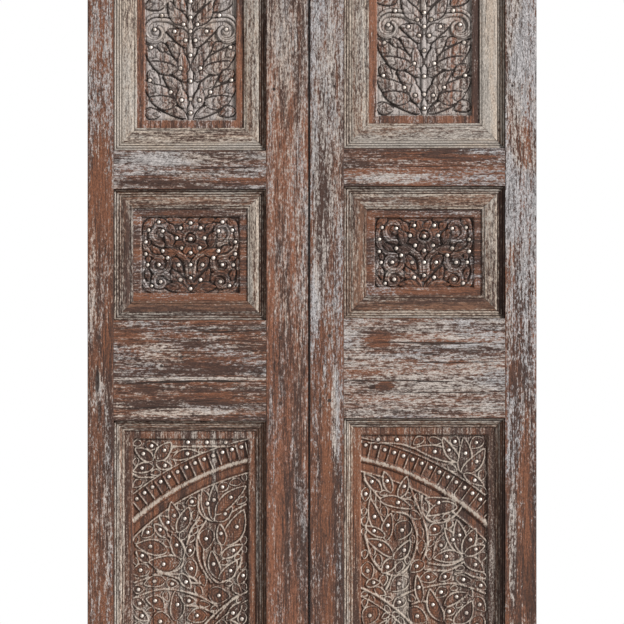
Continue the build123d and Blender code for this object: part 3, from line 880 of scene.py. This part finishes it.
rightLobes = (
    (458, 461, 415, 448, 13, 2), (460, 463, 443, 438, 10, -2), (461, 472, 464, 438, 13, 3),
    (462, 473, 485, 449, 13, 3), (464, 474, 484, 486, 8, 0), (381, 492, 364, 474, 10, 0),
    (391, 493, 384, 472, 9, 0), (399, 498, 407, 477, 9, 1), (380, 500, 412, 509, 11, -2),
    (384, 537, 370, 500, 12, -2), (386, 541, 391, 514, 11, -1), (385, 537, 365, 527, 8, 0),
    (393, 557, 367, 540, 11, 2), (394, 560, 382, 574, 11, 0), (394, 560, 410, 541, 11, 2),
    (456, 504, 425, 499, 11, -2), (457, 507, 427, 516, 12, 3), (463, 554, 445, 529, 11, 0),
    (463, 554, 457, 521, 13, 0), (464, 554, 476, 529, 12, 0), (462, 557, 434, 559, 12, 1),
    (465, 555, 485, 546, 9, 0), (464, 559, 484, 572, 12, -1), (443, 622, 430, 590, 13, -3),
    (445, 606, 468, 594, 10, -2), (455, 624, 472, 602, 14, 3), (421, 603, 417, 576, 8, 0),
    (366, 586, 380, 583, 8, -1),
)
rightLines = (
    ((364, 480), (373, 491), (382, 500), (396, 499), (410, 500)),
    (
        (392, 512), (407, 515), (414, 525), (417, 538), (415, 553), (409, 566), (401, 574),
        (391, 576), (380, 570), (372, 560), (368, 548), (365, 536),
    ),
    ((409, 482), (414, 498), (422, 516), (427, 533), (427, 548), (423, 560)),
    ((422, 496), (422, 510), (429, 521), (442, 523), (455, 516), (463, 506)),
    ((429, 564), (448, 566), (463, 560)),
    ((425, 570), (448, 571), (463, 563)),
    ((455, 575), (464, 573), (473, 577), (485, 580)),
    ((400, 597), (414, 591), (430, 587), (450, 584), (467, 587), (485, 594)),
    ((412, 605), (421, 602), (428, 603)),
    ((363, 443), (398, 444), (415, 449)),
    ((392, 576), (389, 584), (386, 590)),
    ((443, 534), (437, 541), (434, 551)),
)
leftLobes = (
    (155, 461, 170, 443, 13, 0), (172, 459, 199, 454, 10, -2), (152, 461, 134, 449, 11, 0),
    (152, 467, 132, 472, 10, 1), (155, 464, 171, 468, 9, 0), (176, 533, 158, 517, 11, 1),
    (177, 533, 170, 503, 12, 0), (177, 533, 188, 508, 12, 1), (212, 522, 202, 490, 13, 0),
    (212, 520, 214, 485, 10, 0), (214, 521, 232, 508, 11, 1), (215, 515, 245, 487, 13, -2),
    (224, 546, 243, 511, 18, 2), (222, 546, 219, 525, 9, 0), (166, 538, 153, 525, 9, 0),
    (166, 552, 135, 546, 15, 1), (180, 562, 148, 563, 17, -3), (148, 563, 135, 552, 9, 0),
    (181, 560, 171, 535, 12, 0), (219, 580, 211, 552, 11, -2), (219, 581, 236, 562, 12, 2),
    (221, 558, 242, 546, 10, 0), (163, 609, 145, 600, 12, 2), (175, 622, 174, 593, 14, 2),
    (179, 575, 190, 590, 9, 0), (240, 605, 226, 622, 10, 0), (133, 612, 147, 622, 10, 0),
    (238, 585, 246, 570, 8, 0),
)
leftLines = (
    ((131, 474), (138, 478), (152, 478)),
    ((171, 447), (200, 447), (235, 447)),
    ((198, 496), (198, 511), (206, 520), (219, 521), (231, 513), (245, 505)),
    ((199, 518), (190, 531), (186, 545)),
    ((205, 522), (197, 536), (196, 551), (200, 567), (211, 584)),
    (
        (153, 526), (165, 535), (176, 545), (183, 560), (178, 570), (167, 573), (152, 566),
        (135, 554),
    ),
    ((133, 584), (147, 579)),
    ((152, 576), (170, 575), (189, 578), (198, 584)),
    ((203, 550), (203, 562), (208, 575), (218, 584), (230, 578), (239, 567), (242, 553)),
    ((131, 600), (141, 596), (157, 591), (174, 591), (191, 595), (204, 600), (216, 607)),
    ((182, 607), (197, 608), (208, 612), (215, 615)),
    ((215, 620), (225, 608), (233, 599), (245, 594)),
    ((156, 573), (170, 577), (185, 583), (199, 585)),
)


def lowerMotif(canvas, side, lobes, lines):
    look = lowerCarving
    centre = look["centre"]
    arc = (-100, 20) if side > 0 else (160, 280)
    for radius, width, height in look["arches"]:
        ring(canvas, centre, radius, width, height, arc=arc, crest=0.95)
    angle = 0.8
    while angle < look["lastTooth"]:
        turn = math.radians(-90 + side * angle)
        ridge(canvas, [polar(centre, r, turn) for r in look["teeth"]], 1.7, 3.4, crest=0.9)
        middle = turn + math.radians(look["toothAngle"] / 2)
        addStud(canvas, polar(centre, look["teeth"][1] - 3.2, middle))
        angle += look["toothAngle"]
    toothBand(canvas, centre, look["teeth"])
    for radius, width, height in look["wreath"]:
        ring(canvas, centre, radius, width, height, arc=arc)
    for near, far, step in look["fans"]:
        for angle in range(8, 130, step):
            turn = math.radians(-90 + side * angle)
            outlinedLobe(canvas, polar(centre, near, turn), polar(centre, far, turn), 15)
    left, right, upper, lower = look["strips"][side]
    strip = (canvas["u"] > left) & (canvas["u"] < right)
    canvas["taken"] |= strip & (canvas["v"] > upper) & (canvas["v"] < lower)
    for u in range(left + 16, right, 19):
        addStud(canvas, (u, lower - 3))
    for line in lines:
        ridge(canvas, line, 2.6, 3.8, crest=0.95)
    for baseU, baseV, tipU, tipV, width, bend in lobes:
        outlinedLobe(canvas, (baseU, baseV), (tipU, tipV), width, bend)
    # Past the photograph's lower edge the pattern carries on round the same centre
    for radius in (152, 196, 240):
        for angle in range(44, 116, 13):
            turn = math.radians(-90 + side * (angle + radius % 9))
            base, tip = (polar(centre, r, turn) for r in (radius, radius + 34))
            if min(base[1], tip[1]) > look["photoFoot"]:
                outlinedLobe(canvas, base, tip, 15, side * 2)


def toothBand(canvas, centre, teeth):
    # The cells between the teeth are bare and red, and count as carved
    away = np.hypot(canvas["u"] - centre[0], canvas["v"] - centre[1])
    band = (away > teeth[0] - 16) & (away < teeth[1] + 2)
    canvas["film"] = np.where(band, -0.32, canvas["film"])
    canvas["taken"] |= band


# Mouldings: four mitred strips round each panel, each with rounded reeds, a wide slope and a lip.
# Heights and widths are in mm; film is the wash left on the bottom, top, left and right strips, and
# partly painted light and shade, each strip set lighter or darker for how the light falls on its
# slope
mouldingShape = {
    "height": 9.0,
    "reedWidth": 5.4,
    "reedGroove": 1.3,
    "reedStep": 1.0,
    "lipWidth": 6.0,
    "lipHeight": 3.0,
    "quirk": 1.5,
    "crown": 0.7,
    "spacing": 7.0,
    "mitreGap": 0.18,
    "wear": 0.30,
    # The reeds' extra film on the bottom, top, left and right strips is painted light and shade:
    # the bottom reeds lighter, and the right reeds darker as painted shadow of the stile's edge
    "reedPaintedLightAndShade": (0.34, 0.06, 0.08, -0.38),
}
mouldings = {
    ("left", "lower"): {"width": 22.0, "reeds": 2, "film": (0.20, 0.20, 0.30, 0.20)},
    ("left", "middle"): {"width": 40.0, "reeds": 3, "film": (-0.20, 0.22, 0.14, 0.52)},
    ("left", "upper"): {"width": 48.0, "reeds": 3, "film": (0.42, 0.42, 0.60, 0.50)},
    ("right", "lower"): {"width": 19.0, "reeds": 2, "film": (0.25, 0.30, 0.35, 0.25)},
    ("right", "middle"): {"width": 48.0, "reeds": 3, "film": (0.08, 0.28, 0.16, 0.36)},
    ("right", "upper"): {"width": 53.0, "reeds": 3, "film": (0.42, 0.45, 0.40, 0.84)},
}

# Carved panels, each one closed mesh with its tongue
panelShape = {
    "underLip": 4.0,
    "tongueReach": 11.0,
    "tongueHalf": 5.0,
    "groundDepth": 6.0,
    "border": 17.0,
    "chisel": 0.32,
    "studInset": 3.2,
    "studFlat": 2.4,
}
# filler is what fills the open ground, down to which gap in pixels, and how often at most
panelLooks = {
    "lower": {
        "cell": 0.00155,
        "filler": (fillerLobe, 2.9, 130),
        "borderFilm": -0.05,
        "wood": {
            "film": (0.17, 0.17),
            "warmWash": (0.50, 0.41, 0.33),
            "coolWash": (0.46, 0.40, 0.35),
            "carved": {"crestFilm": 0.1, "pitDirtAndShadeStrength": 0.85, "crestColour": (0.52, 0.44, 0.365)},
        },
    },
    "middle": {
        "cell": 0.0012,
        "filler": (fillerLeaf, 2.6, 90),
        "borderFilm": -0.16,
        "wood": {
            "grain": "x",
            "film": (0.20, 0.20),
            "carved": {"crestFilm": 0.25, "pitDirtAndShadeStrength": 0.95, "crestColour": (0.36, 0.29, 0.25)},
        },
    },
    "upper": {
        "cell": 0.0014,
        "filler": (fillerLeaf, 4.4, 24),
        "borderFilm": -0.70,
        "wood": {
            "film": (0.68, 0.68),
            "redBrown": (0.240, 0.096, 0.050),
            "coolWash": (0.48, 0.43, 0.405),
            "carved": {"crestFilm": 0.1, "pitDirtAndShadeStrength": 0.95, "crestColour": (0.45, 0.39, 0.35)},
        },
    },
}
panelWood = {"flake": (330.0, 200.0), "bump": 0.0006, "speckle": 1.8, "crackle": 0.3, "scaly": 0.4}

# Joints between the boards that a panel is glued up from, and lighter strips beside them; on the
# middle panels a dark band along the top is painted shadow under the moulding
panelMarks = {
    ("left", "lower"): {
        "split": ((152, 560, 0.7, 160, 0.9), (211, 560, 0.5, 160, 0.6)),
        "film": ((213, 455, 2.5, 40, 0.4), (143, 610, 6, 60, 0.2)),
    },
    ("right", "lower"): {
        "split": ((409.5, 560, 0.7, 160, 0.9),),
        "film": ((405, 590, 4, 60, 0.35), (414, 470, 4, 40, -0.25)),
    },
    ("left", "upper"): {"film": ((192, 60, 12, 50, -0.1), (142, 60, 5, 90, -0.3))},
    # The dark band at the top of each middle panel is painted shadow under the top moulding
    ("left", "middle"): {"film": ((225, 240, 14, 20, 0.2),), "stainAndShadow": ((180, 208, 40, 3, 0.5),)},
    ("right", "middle"): {"stainAndShadow": ((415, 208, 45, 3, 0.5),), "film": ((385, 270, 14, 12, 0.2),)},
}


def eased(share):
    return share * share * (3 - 2 * share)


def softNoise(shape, blocks, seed):
    # Smooth random field between -1 and 1, with about that many waves down and across
    random = np.random.default_rng(seed)
    coarse = random.uniform(-1, 1, (blocks[0] + 3, blocks[1] + 3))
    levels = [np.linspace(0, most, count) for most, count in zip(blocks, shape)]
    r, c = np.meshgrid(*levels, indexing="ij")
    row = r.astype(int)
    column = c.astype(int)
    down = eased(r - row)
    along = eased(c - column)
    top = coarse[row, column] * (1 - along) + coarse[row, column + 1] * along
    low = coarse[row + 1, column] * (1 - along) + coarse[row + 1, column + 1] * along
    return top * (1 - down) + low * down


def addObject(name, data):
    thing = bpy.data.objects.new(name, data)
    bpy.context.scene.collection.objects.link(thing)
    return thing


def meshWith(name, points, faces, values):
    # values belong to the first points, and are 0 at the others
    mesh = bpy.data.meshes.new(name)
    mesh.from_pydata(np.vstack(points).tolist(), [], faces)
    mesh.update()
    for key, known in values.items():
        given = np.zeros(len(mesh.vertices), np.float32)
        given[: known.size] = known.ravel()
        mesh.attributes.new(key, "FLOAT", "POINT").data.foreach_set("value", given)
    return mesh


def carvedPanel(side, level, seed):
    node = f"{side}_{level}_panel"
    low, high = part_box(node)
    look = panelLooks[level]
    reach = panelShape["tongueReach"] / 1000
    band = mouldings[side, level]["width"]
    hide = (band - panelShape["underLip"]) / 1000
    rim = (band + panelShape["border"]) / 1000
    x = (low.x + reach, high.x - reach)
    z = (low.z + reach, high.z - reach)
    canvas = newCanvas((x[0] + hide, x[1] - hide), (z[0] + hide, z[1] - hide), look["cell"])
    field = (*map(toPixelU, (x[0] + rim, x[1] - rim)), *map(toPixelV, (z[0] + rim, z[1] - rim)))
    middleU = (field[0] + field[1]) / 2
    if level == "lower" and side == "right":
        lowerMotif(canvas, 1, rightLobes, rightLines)
    elif level == "lower":
        lowerMotif(canvas, -1, leftLobes, leftLines)
    elif level == "middle":
        middleMotif(canvas, middleU, (field[2] + field[3]) / 2)
    else:
        upperMotif(canvas, middleU, field[2], field[3])
    fillGaps(canvas, field, *look["filler"])
    seatStuds(canvas, field)
    finishGround(canvas, field, look, seed)
    name = f"{side}_{level}_carving"
    piece = addObject(name, panelMesh(name, canvas, low, high, reach))
    wood = {**panelWood, **(rightWash if side == "right" else {}), **look["wood"]}
    wood.update({"marks": panelMarks.get((side, level), {}), "seed": seed * 0.9})
    piece.data.materials.append(limewashedWood(name + "_wood", **wood))
    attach(piece, f"{side}_leaf")
    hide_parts(node)
    return canvas


def seatStuds(canvas, field):
    # Studs stay clear of the border, each on a small flat with a dark ring round it
    inset = panelShape["studInset"]
    wide = panelShape["studFlat"]
    kept = []
    for u, v in canvas["studs"]:
        if field[0] + inset < u < field[1] - inset and field[3] + inset < v < field[2] - inset:
            kept.append((u, v))
            area = window(canvas, [(u, v)], 5)
            away = np.hypot(canvas["u"][area] - u, canvas["v"][area] - v)
            flat = max(canvas["height"][area][away < 1.2].mean(), 1.0)
            put(canvas, "height", area, away < wide, flat)
            mark(canvas, "pit", area, np.clip(1.6 - np.abs(away - wide) / 0.6, 0, 1))
            canvas["crest"][area] *= np.clip((away - 2.6) / 1.2, 0, 1)
    canvas["studs"] = kept


def finishGround(canvas, field, look, seed):
    # Chisel marks over the whole field, and the plain border; a pale line just inside the border's
    # edge stands for a small round, partly worn wash and partly painted highlight, and a dark line
    # in the corner at the field's edge is painted shade
    u, v, height = (canvas[key] for key in ("u", "v", "height"))
    texture = softNoise(u.shape, (90, 60), seed) + 0.7 * softNoise(u.shape, (260, 150), seed + 1)
    texture *= panelShape["chisel"]
    height = np.where(height > 0.1, height + 0.6 * texture, texture)
    past = np.maximum.reduce((field[0] - u, u - field[1], v - field[2], field[3] - v))
    outside = past * photo["perPixel"] * 1000
    edge = eased(np.clip((outside + 1.0) / 2.6, 0, 1))
    border = panelShape["groundDepth"] + texture * 0.3
    canvas["height"] = height * (1 - edge) + border * edge
    canvas["crest"] = canvas["crest"] * (1 - edge) + 0.1 * edge
    canvas["film"] = canvas["film"] * (1 - edge) + look["borderFilm"] * edge
    # A dark line in the corner at the field's edge is painted shade
    corner = np.clip(1 - np.abs(outside + 1.8) / 1.9, 0, 1)
    canvas["pit"] = np.maximum(np.where(outside > 0, 0, canvas["pit"]), corner * 0.85)
    # A pale line inside the border's edge is partly worn wash and partly painted highlight standing
    # for a small round
    bead = np.clip(1 - np.abs(outside - 1.5) / 1.3, 0, 1)
    canvas["crest"] = np.maximum(canvas["crest"], bead * 0.7)


def panelMesh(name, canvas, low, high, reach):
    # The carved grid, then rings of points that lead round the tongue to the plain back
    y = low.y + (panelShape["groundDepth"] - canvas["height"]) / 1000
    grid = np.column_stack([canvas["x"].ravel(), y.ravel(), canvas["z"].ravel()])
    index = np.arange(y.size).reshape(y.shape)
    corners = (index[:-1, :-1], index[:-1, 1:], index[1:, 1:], index[1:, :-1])
    faces = np.stack(corners, axis=-1).reshape(-1, 4).tolist()
    rim = np.concatenate([index[0, :], index[1:, -1], index[-1, -2::-1], index[-2:0:-1, 0]])
    rimX = grid[rim, 0]
    rimZ = grid[rim, 2]
    middle = (low.y + high.y) / 2
    tongue = panelShape["tongueHalf"] / 1000
    rings = (
        (reach, low.y),
        (reach, middle - tongue),
        (0.0, middle - tongue),
        (0.0, middle + tongue),
        (reach, middle + tongue),
        (reach, high.y),
    )
    points = [grid]
    before = rim
    for count, (inset, level) in enumerate(rings):
        x = np.interp(rimX, (rimX.min(), rimX.max()), (low.x + inset, high.x - inset))
        z = np.interp(rimZ, (rimZ.min(), rimZ.max()), (low.z + inset, high.z - inset))
        points.append(np.column_stack([x, np.full(len(rim), level), z]))
        after = len(grid) + count * len(rim) + np.arange(len(rim))
        corners = [np.roll(before, -1), before, after, np.roll(after, -1)]
        faces += np.column_stack(corners).tolist()
        before = after
    faces.append(before.tolist())
    values = {key: canvas[key] for key in ("crest", "pit", "film")}
    mesh = meshWith(name, points, faces, values)
    mesh.shade_smooth()
    return mesh


canvases = {}
for order, key in enumerate(mouldings):
    canvases[key] = carvedPanel(*key, seed=11 + order * 5)
    print(key[0], key[1], "panel carved,", len(canvases[key]["studs"]), "studs")


def mouldingProfile(width, reeds):
    # Rows of distance inwards, height above the panel, paleness of an edge (partly worn wash,
    # partly painted highlight on the reed tops and edges), and darkness (dirt and painted shade in
    # the grooves and on the reeds' flanks)
    look = mouldingShape
    groove = look["reedGroove"]
    lip = look["lipHeight"]
    across = 0.0
    level = look["height"]
    top = look["reedWidth"] - groove
    rows = [(0.0, 0.0, 0.0, 0.0)]
    for _ in range(reeds):
        for share in (0.0, 0.1, 0.28, 0.5, 0.72, 0.9, 1.0):
            swell = math.sqrt(max(0.0, 1 - (2 * share - 1) ** 2))
            rise = level - groove * (1 - swell)
            # Each reed's top is paler as painted highlight and its flanks darker as painted shade
            rows.append((across + top * share, rise, 0.5 * swell, 0.6 - 0.6 * swell))
        rows.append((across + top + 0.5 * groove, level - 1.25 * groove, 0.0, 1.0))
        across += look["reedWidth"]
        level -= look["reedStep"]
    end = width - look["lipWidth"]
    foot = lip + look["quirk"]
    for share in np.linspace(0, 1, 8):
        rise = level + (foot - level) * share + look["crown"] * math.sin(math.pi * share)
        paleness = 0.75 * max(0.0, 1 - share * 5) + 0.5 * max(0.0, share * 8 - 7)
        rows.append((across + (end - across) * share, rise, paleness, 0.0))
    rows.append((end + 0.2, lip + 0.1, 0.0, 1.0))
    reach = look["lipWidth"] - look["quirk"]
    for share in (0.25, 0.5, 0.75, 1.0):
        rise = lip + 0.35 * math.sin(math.pi * share)
        rows.append((end + reach * share, rise, 0.45 * share, 0.3 - 0.3 * share))
    rows.append((width - 0.4, lip - 0.7, 0.3, 0.2))
    rows.append((width, lip - look["quirk"], 0.0, 0.8))
    rows.append((width, 0.0, 0.0, 1.0))
    return np.array(rows)


def mouldingMesh(side, level, seed):
    look = mouldings[side, level]
    shape = mouldingShape
    low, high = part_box(f"{side}_{level}_moulding")
    profile = mouldingProfile(look["width"], look["reeds"])
    random = np.random.default_rng(seed)
    width = high.x - low.x
    height = high.z - low.z
    runs = (
        # origin, inwards, along, length and the material for that grain
        ((low.x, low.z), (0, 1), (1, 0), width, 0),
        ((high.x, high.z), (0, -1), (-1, 0), width, 0),
        ((low.x, high.z), (1, 0), (0, -1), height, 1),
        ((high.x, low.z), (-1, 0), (0, 1), height, 1),
    )
    points = []
    faces = []
    grains = []
    values = {"crest": [], "pit": [], "film": []}
    for run, film, reedPaintedLightAndShade in zip(runs, look["film"], shape["reedPaintedLightAndShade"]):
        origin, inwards, along, length, grain = run
        steps = max(int(length * 1000 / shape["spacing"]), 8)
        share, across = np.meshgrid(np.linspace(0, 1, steps + 1), profile[:, 0], indexing="ij")
        inset = across + shape["mitreGap"]
        way = (inset + (length * 1000 - 2 * inset) * share) / 1000
        rise = np.broadcast_to(profile[:, 1], across.shape).copy()
        bends = np.interp(share[:, 0] * 12, range(13), random.uniform(-1, 1, 13)) * shape["wear"]
        chips = random.uniform(0, 1, across.shape) ** 6 * shape["wear"]
        rise -= (rise > 1.6) * (np.abs(bends)[:, None] * 0.7 + chips)
        x = origin[0] + along[0] * way + inwards[0] * across / 1000
        z = origin[1] + along[1] * way + inwards[1] * across / 1000
        index = sum(map(len, points)) + np.arange(across.size).reshape(across.shape)
        points.append(np.column_stack([x.ravel(), (high.y - rise / 1000).ravel(), z.ravel()]))
        # The right strip's reeds are darkened as painted shadow, and the bottom strip's lightened
        # as painted light
        onReeds = across < look["reeds"] * shape["reedWidth"]
        columns = (profile[:, 2], profile[:, 3], film + reedPaintedLightAndShade * onReeds)
        for blocks, column in zip(values.values(), columns):
            blocks.append(np.broadcast_to(column, across.shape).ravel())
        after = np.roll(index, -1, axis=1)
        corners = (index[:-1], index[1:], after[1:], after[:-1])
        faces += np.stack(corners, axis=-1).reshape(-1, 4).tolist()
        faces += [index[0].tolist(), index[-1][::-1].tolist()]
        grains += [grain] * (len(faces) - len(grains))
    values = {key: np.concatenate(blocks) for key, blocks in values.items()}
    mesh = meshWith(f"{side}_{level}_moulding_strips", points, faces, values)
    mesh.polygons.foreach_set("material_index", grains)
    faceOutwards(mesh)
    return mesh


def faceOutwards(mesh):
    shape = bmesh.new()
    shape.from_mesh(mesh)
    bmesh.ops.recalc_face_normals(shape, faces=shape.faces)
    shape.to_mesh(mesh)
    shape.free()


mouldingWood = {
    "film": (0.0, 0.0),
    "contrast": 0.8,
    "redBrown": (0.170, 0.082, 0.048),
    "warmWash": (0.52, 0.43, 0.35),
    "coolWash": (0.47, 0.42, 0.37),
    "streak": (150.0, 4.5),
    "patch": (26.0, 3.2),
    "crackle": 0.5,
    "scaly": 0.3,
    "carved": {"crestFilm": 0.25, "pitDirtAndShadeStrength": 0.85, "crestColour": (0.50, 0.42, 0.35)},
}


def finishMouldings():
    for count, (side, level) in enumerate(mouldings):
        mesh = mouldingMesh(side, level, seed=70 + count)
        for grain in ("x", "z"):
            look = {**mouldingWood, "grain": grain, "seed": 20.0 + count * 2.3}
            name = f"{side}_{level}_moulding_wood_{grain}"
            mesh.materials.append(limewashedWood(name, **look))
        piece = addObject(f"{side}_{level}_moulding_strips", mesh)
        mesh.shade_smooth()
        mesh.set_sharp_from_angle(angle=math.radians(50))
        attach(piece, f"{side}_leaf")
        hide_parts(f"{side}_{level}_moulding")
    print("mouldings run:", len(mouldings))


finishMouldings()


# Studs: round domes set on the carving, instanced by Geometry Nodes
studShape = {"radius": 0.0043, "proud": 0.0027, "sunk": 0.0004, "unevenness": 0.12, "seed": 5}
studSockets = (("Radius", "Float"), ("Proud", "Float"), ("Unevenness", "Float"), ("Seed", "Int"))


def studTree(metal):
    tree = bpy.data.node_groups.new("studs", "GeometryNodeTree")
    for name, kind in (("Geometry", "Geometry"), *studSockets):
        tree.interface.new_socket(name=name, in_out="INPUT", socket_type="NodeSocket" + kind)
    tree.interface.new_socket(name="Geometry", in_out="OUTPUT", socket_type="NodeSocketGeometry")
    given = tree.nodes.new("NodeGroupInput").outputs
    inputs = {"Radius": given["Radius"], "Subdivisions": 2}
    ball = addNode(tree, "GeometryNodeMeshIcoSphere", inputs).outputs["Mesh"]
    flatness = maths(tree, "DIVIDE", given["Proud"], given["Radius"])
    scale = addNode(tree, "ShaderNodeCombineXYZ", {"X": 1.0, "Y": flatness, "Z": 1.0}).outputs[0]
    dome = addNode(tree, "GeometryNodeTransform", {"Geometry": ball, "Scale": scale}).outputs[0]
    least = maths(tree, "SUBTRACT", 1.0, given["Unevenness"])
    inputs = {2: least, 3: 1.0, "Seed": given["Seed"]}
    size = addNode(tree, "FunctionNodeRandomValue", inputs).outputs[1]
    inputs = {"Points": given["Geometry"], "Instance": dome, "Scale": size}
    geometry = addNode(tree, "GeometryNodeInstanceOnPoints", inputs).outputs[0]
    for kind in ("GeometryNodeSetShadeSmooth", "GeometryNodeRealizeInstances"):
        geometry = addNode(tree, kind, {"Geometry": geometry}).outputs[0]
    inputs = {"Geometry": geometry, "Material": metal}
    geometry = addNode(tree, "GeometryNodeSetMaterial", inputs).outputs[0]
    addNode(tree, "NodeGroupOutput", {"Geometry": geometry})
    return tree


def onSurface(canvas, u, v):
    # Height of the carving in mm at a place on the panel
    column = int(np.abs(canvas["u"][0] - u).argmin())
    row = int(np.abs(canvas["v"][:, 0] - v).argmin())
    return canvas["height"][row, column]


def finishStuds():
    metal = plainMetal("stud_silver", (0.87, 0.77, 0.69), (0.30, 0.24, 0.19), 0.45, 0.55, 120.0)
    tree = studTree(metal)
    count = 0
    for (side, level), canvas in canvases.items():
        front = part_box(f"{side}_{level}_panel")[0].y
        points = []
        for u, v in canvas["studs"]:
            deep = (panelShape["groundDepth"] - onSurface(canvas, u, v)) / 1000
            points.append((toX(u), front + deep + studShape["sunk"], toZ(v)))
        mesh = bpy.data.meshes.new("stud_places")
        mesh.from_pydata(points, [], [])
        places = addObject("stud_places", mesh)
        modifier = places.modifiers.new("studs", "NODES")
        modifier.node_group = tree
        values = {key.title(): value for key, value in studShape.items()}
        values["Seed"] += len(side) + len(level)
        for item in tree.interface.items_tree:
            if item.name in values and item.in_out == "INPUT":
                modifier[item.identifier] = values[item.name]
        bpy.context.view_layer.update()
        evaluated = places.evaluated_get(bpy.context.evaluated_depsgraph_get())
        domes = bpy.data.meshes.new_from_object(evaluated)
        domes.name = f"{side}_{level}_stud_domes"
        bpy.data.objects.remove(places)
        piece = addObject(f"{side}_{level}_stud_domes", domes)
        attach(piece, f"{side}_leaf")
        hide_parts(f"{side}_{level}_studs")
        count += len(points)
    print("studs set:", count)


finishStuds()


# Camera and light: a long lens, level and one degree off square, so that the slanted gap between
# the leaves is closed to the eye as in the photograph, and a low light from the viewer's right
view = {
    "middleX": 0.0008,
    "middleZ": 1.2,
    "width": 1.3104,
    "lens": 135.0,
    "sensor": 36.0,
    "aside": 0.095,
}


def placeCamera():
    camera = bpy.data.cameras.new("camera")
    camera.lens = view["lens"]
    camera.sensor_width = view["sensor"]
    camera.clip_end = 60
    seat = addObject("camera", camera)
    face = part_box("left_lock_rail")[0].y
    away = view["width"] * view["lens"] / view["sensor"]
    seat.location = (view["middleX"] + view["aside"], face - away, view["middleZ"])
    seat.rotation_euler = (math.radians(90), 0, math.atan2(view["aside"], away))
    bpy.context.scene.camera = seat


def addSun(name, strength, softness, fromRight, fromAbove):
    # fromRight and fromAbove are degrees from the door's face-on direction
    light = bpy.data.lights.new(name, "SUN")
    light.energy = strength
    light.angle = math.radians(softness)
    turn = (math.radians(90 - fromAbove), 0, math.radians(fromRight))
    addObject(name, light).rotation_euler = turn


def lightScene():
    world = bpy.data.worlds.new("studio")
    bpy.context.scene.world = world
    world.use_nodes = True
    tree = world.node_tree
    ambient = tree.nodes["Background"]
    feed(tree, ambient.inputs["Color"], (0.97, 0.98, 1.0))
    feed(tree, ambient.inputs["Strength"], 0.34)
    inputs = {"Color": (1.0, 1.0, 1.0), "Strength": 1.0}
    backdrop = addNode(tree, "ShaderNodeBackground", inputs).outputs[0]
    seen = addNode(tree, "ShaderNodeLightPath", {}).outputs["Is Camera Ray"]
    inputs = {0: seen, 1: ambient.outputs[0], 2: backdrop}
    either = addNode(tree, "ShaderNodeMixShader", inputs).outputs[0]
    feed(tree, tree.nodes["World Output"].inputs["Surface"], either)
    addSun("key", 4.4, 9.0, 58.0, 24.0)
    bpy.context.scene.view_settings.view_transform = "Standard"


def layFloor():
    # It ends a little behind the door, below the photograph's lower edge
    near, far, half = 6.0, 2.4, 6.0
    corners = [(-half, -near, 0), (half, -near, 0), (half, far, 0), (-half, far, 0)]
    mesh = bpy.data.meshes.new("floor")
    mesh.from_pydata(corners, [], [(0, 1, 2, 3)])
    floor = addObject("floor", mesh)
    material, tree = newMaterial("pale_floor")
    for key, value in {"Base Color": (0.78, 0.77, 0.75), "Roughness": 0.8}.items():
        feed(tree, tree.nodes["Principled BSDF"].inputs[key], value)
    mesh.materials.append(material)


placeCamera()
lightScene()
layFloor()
print("camera, light and floor set")
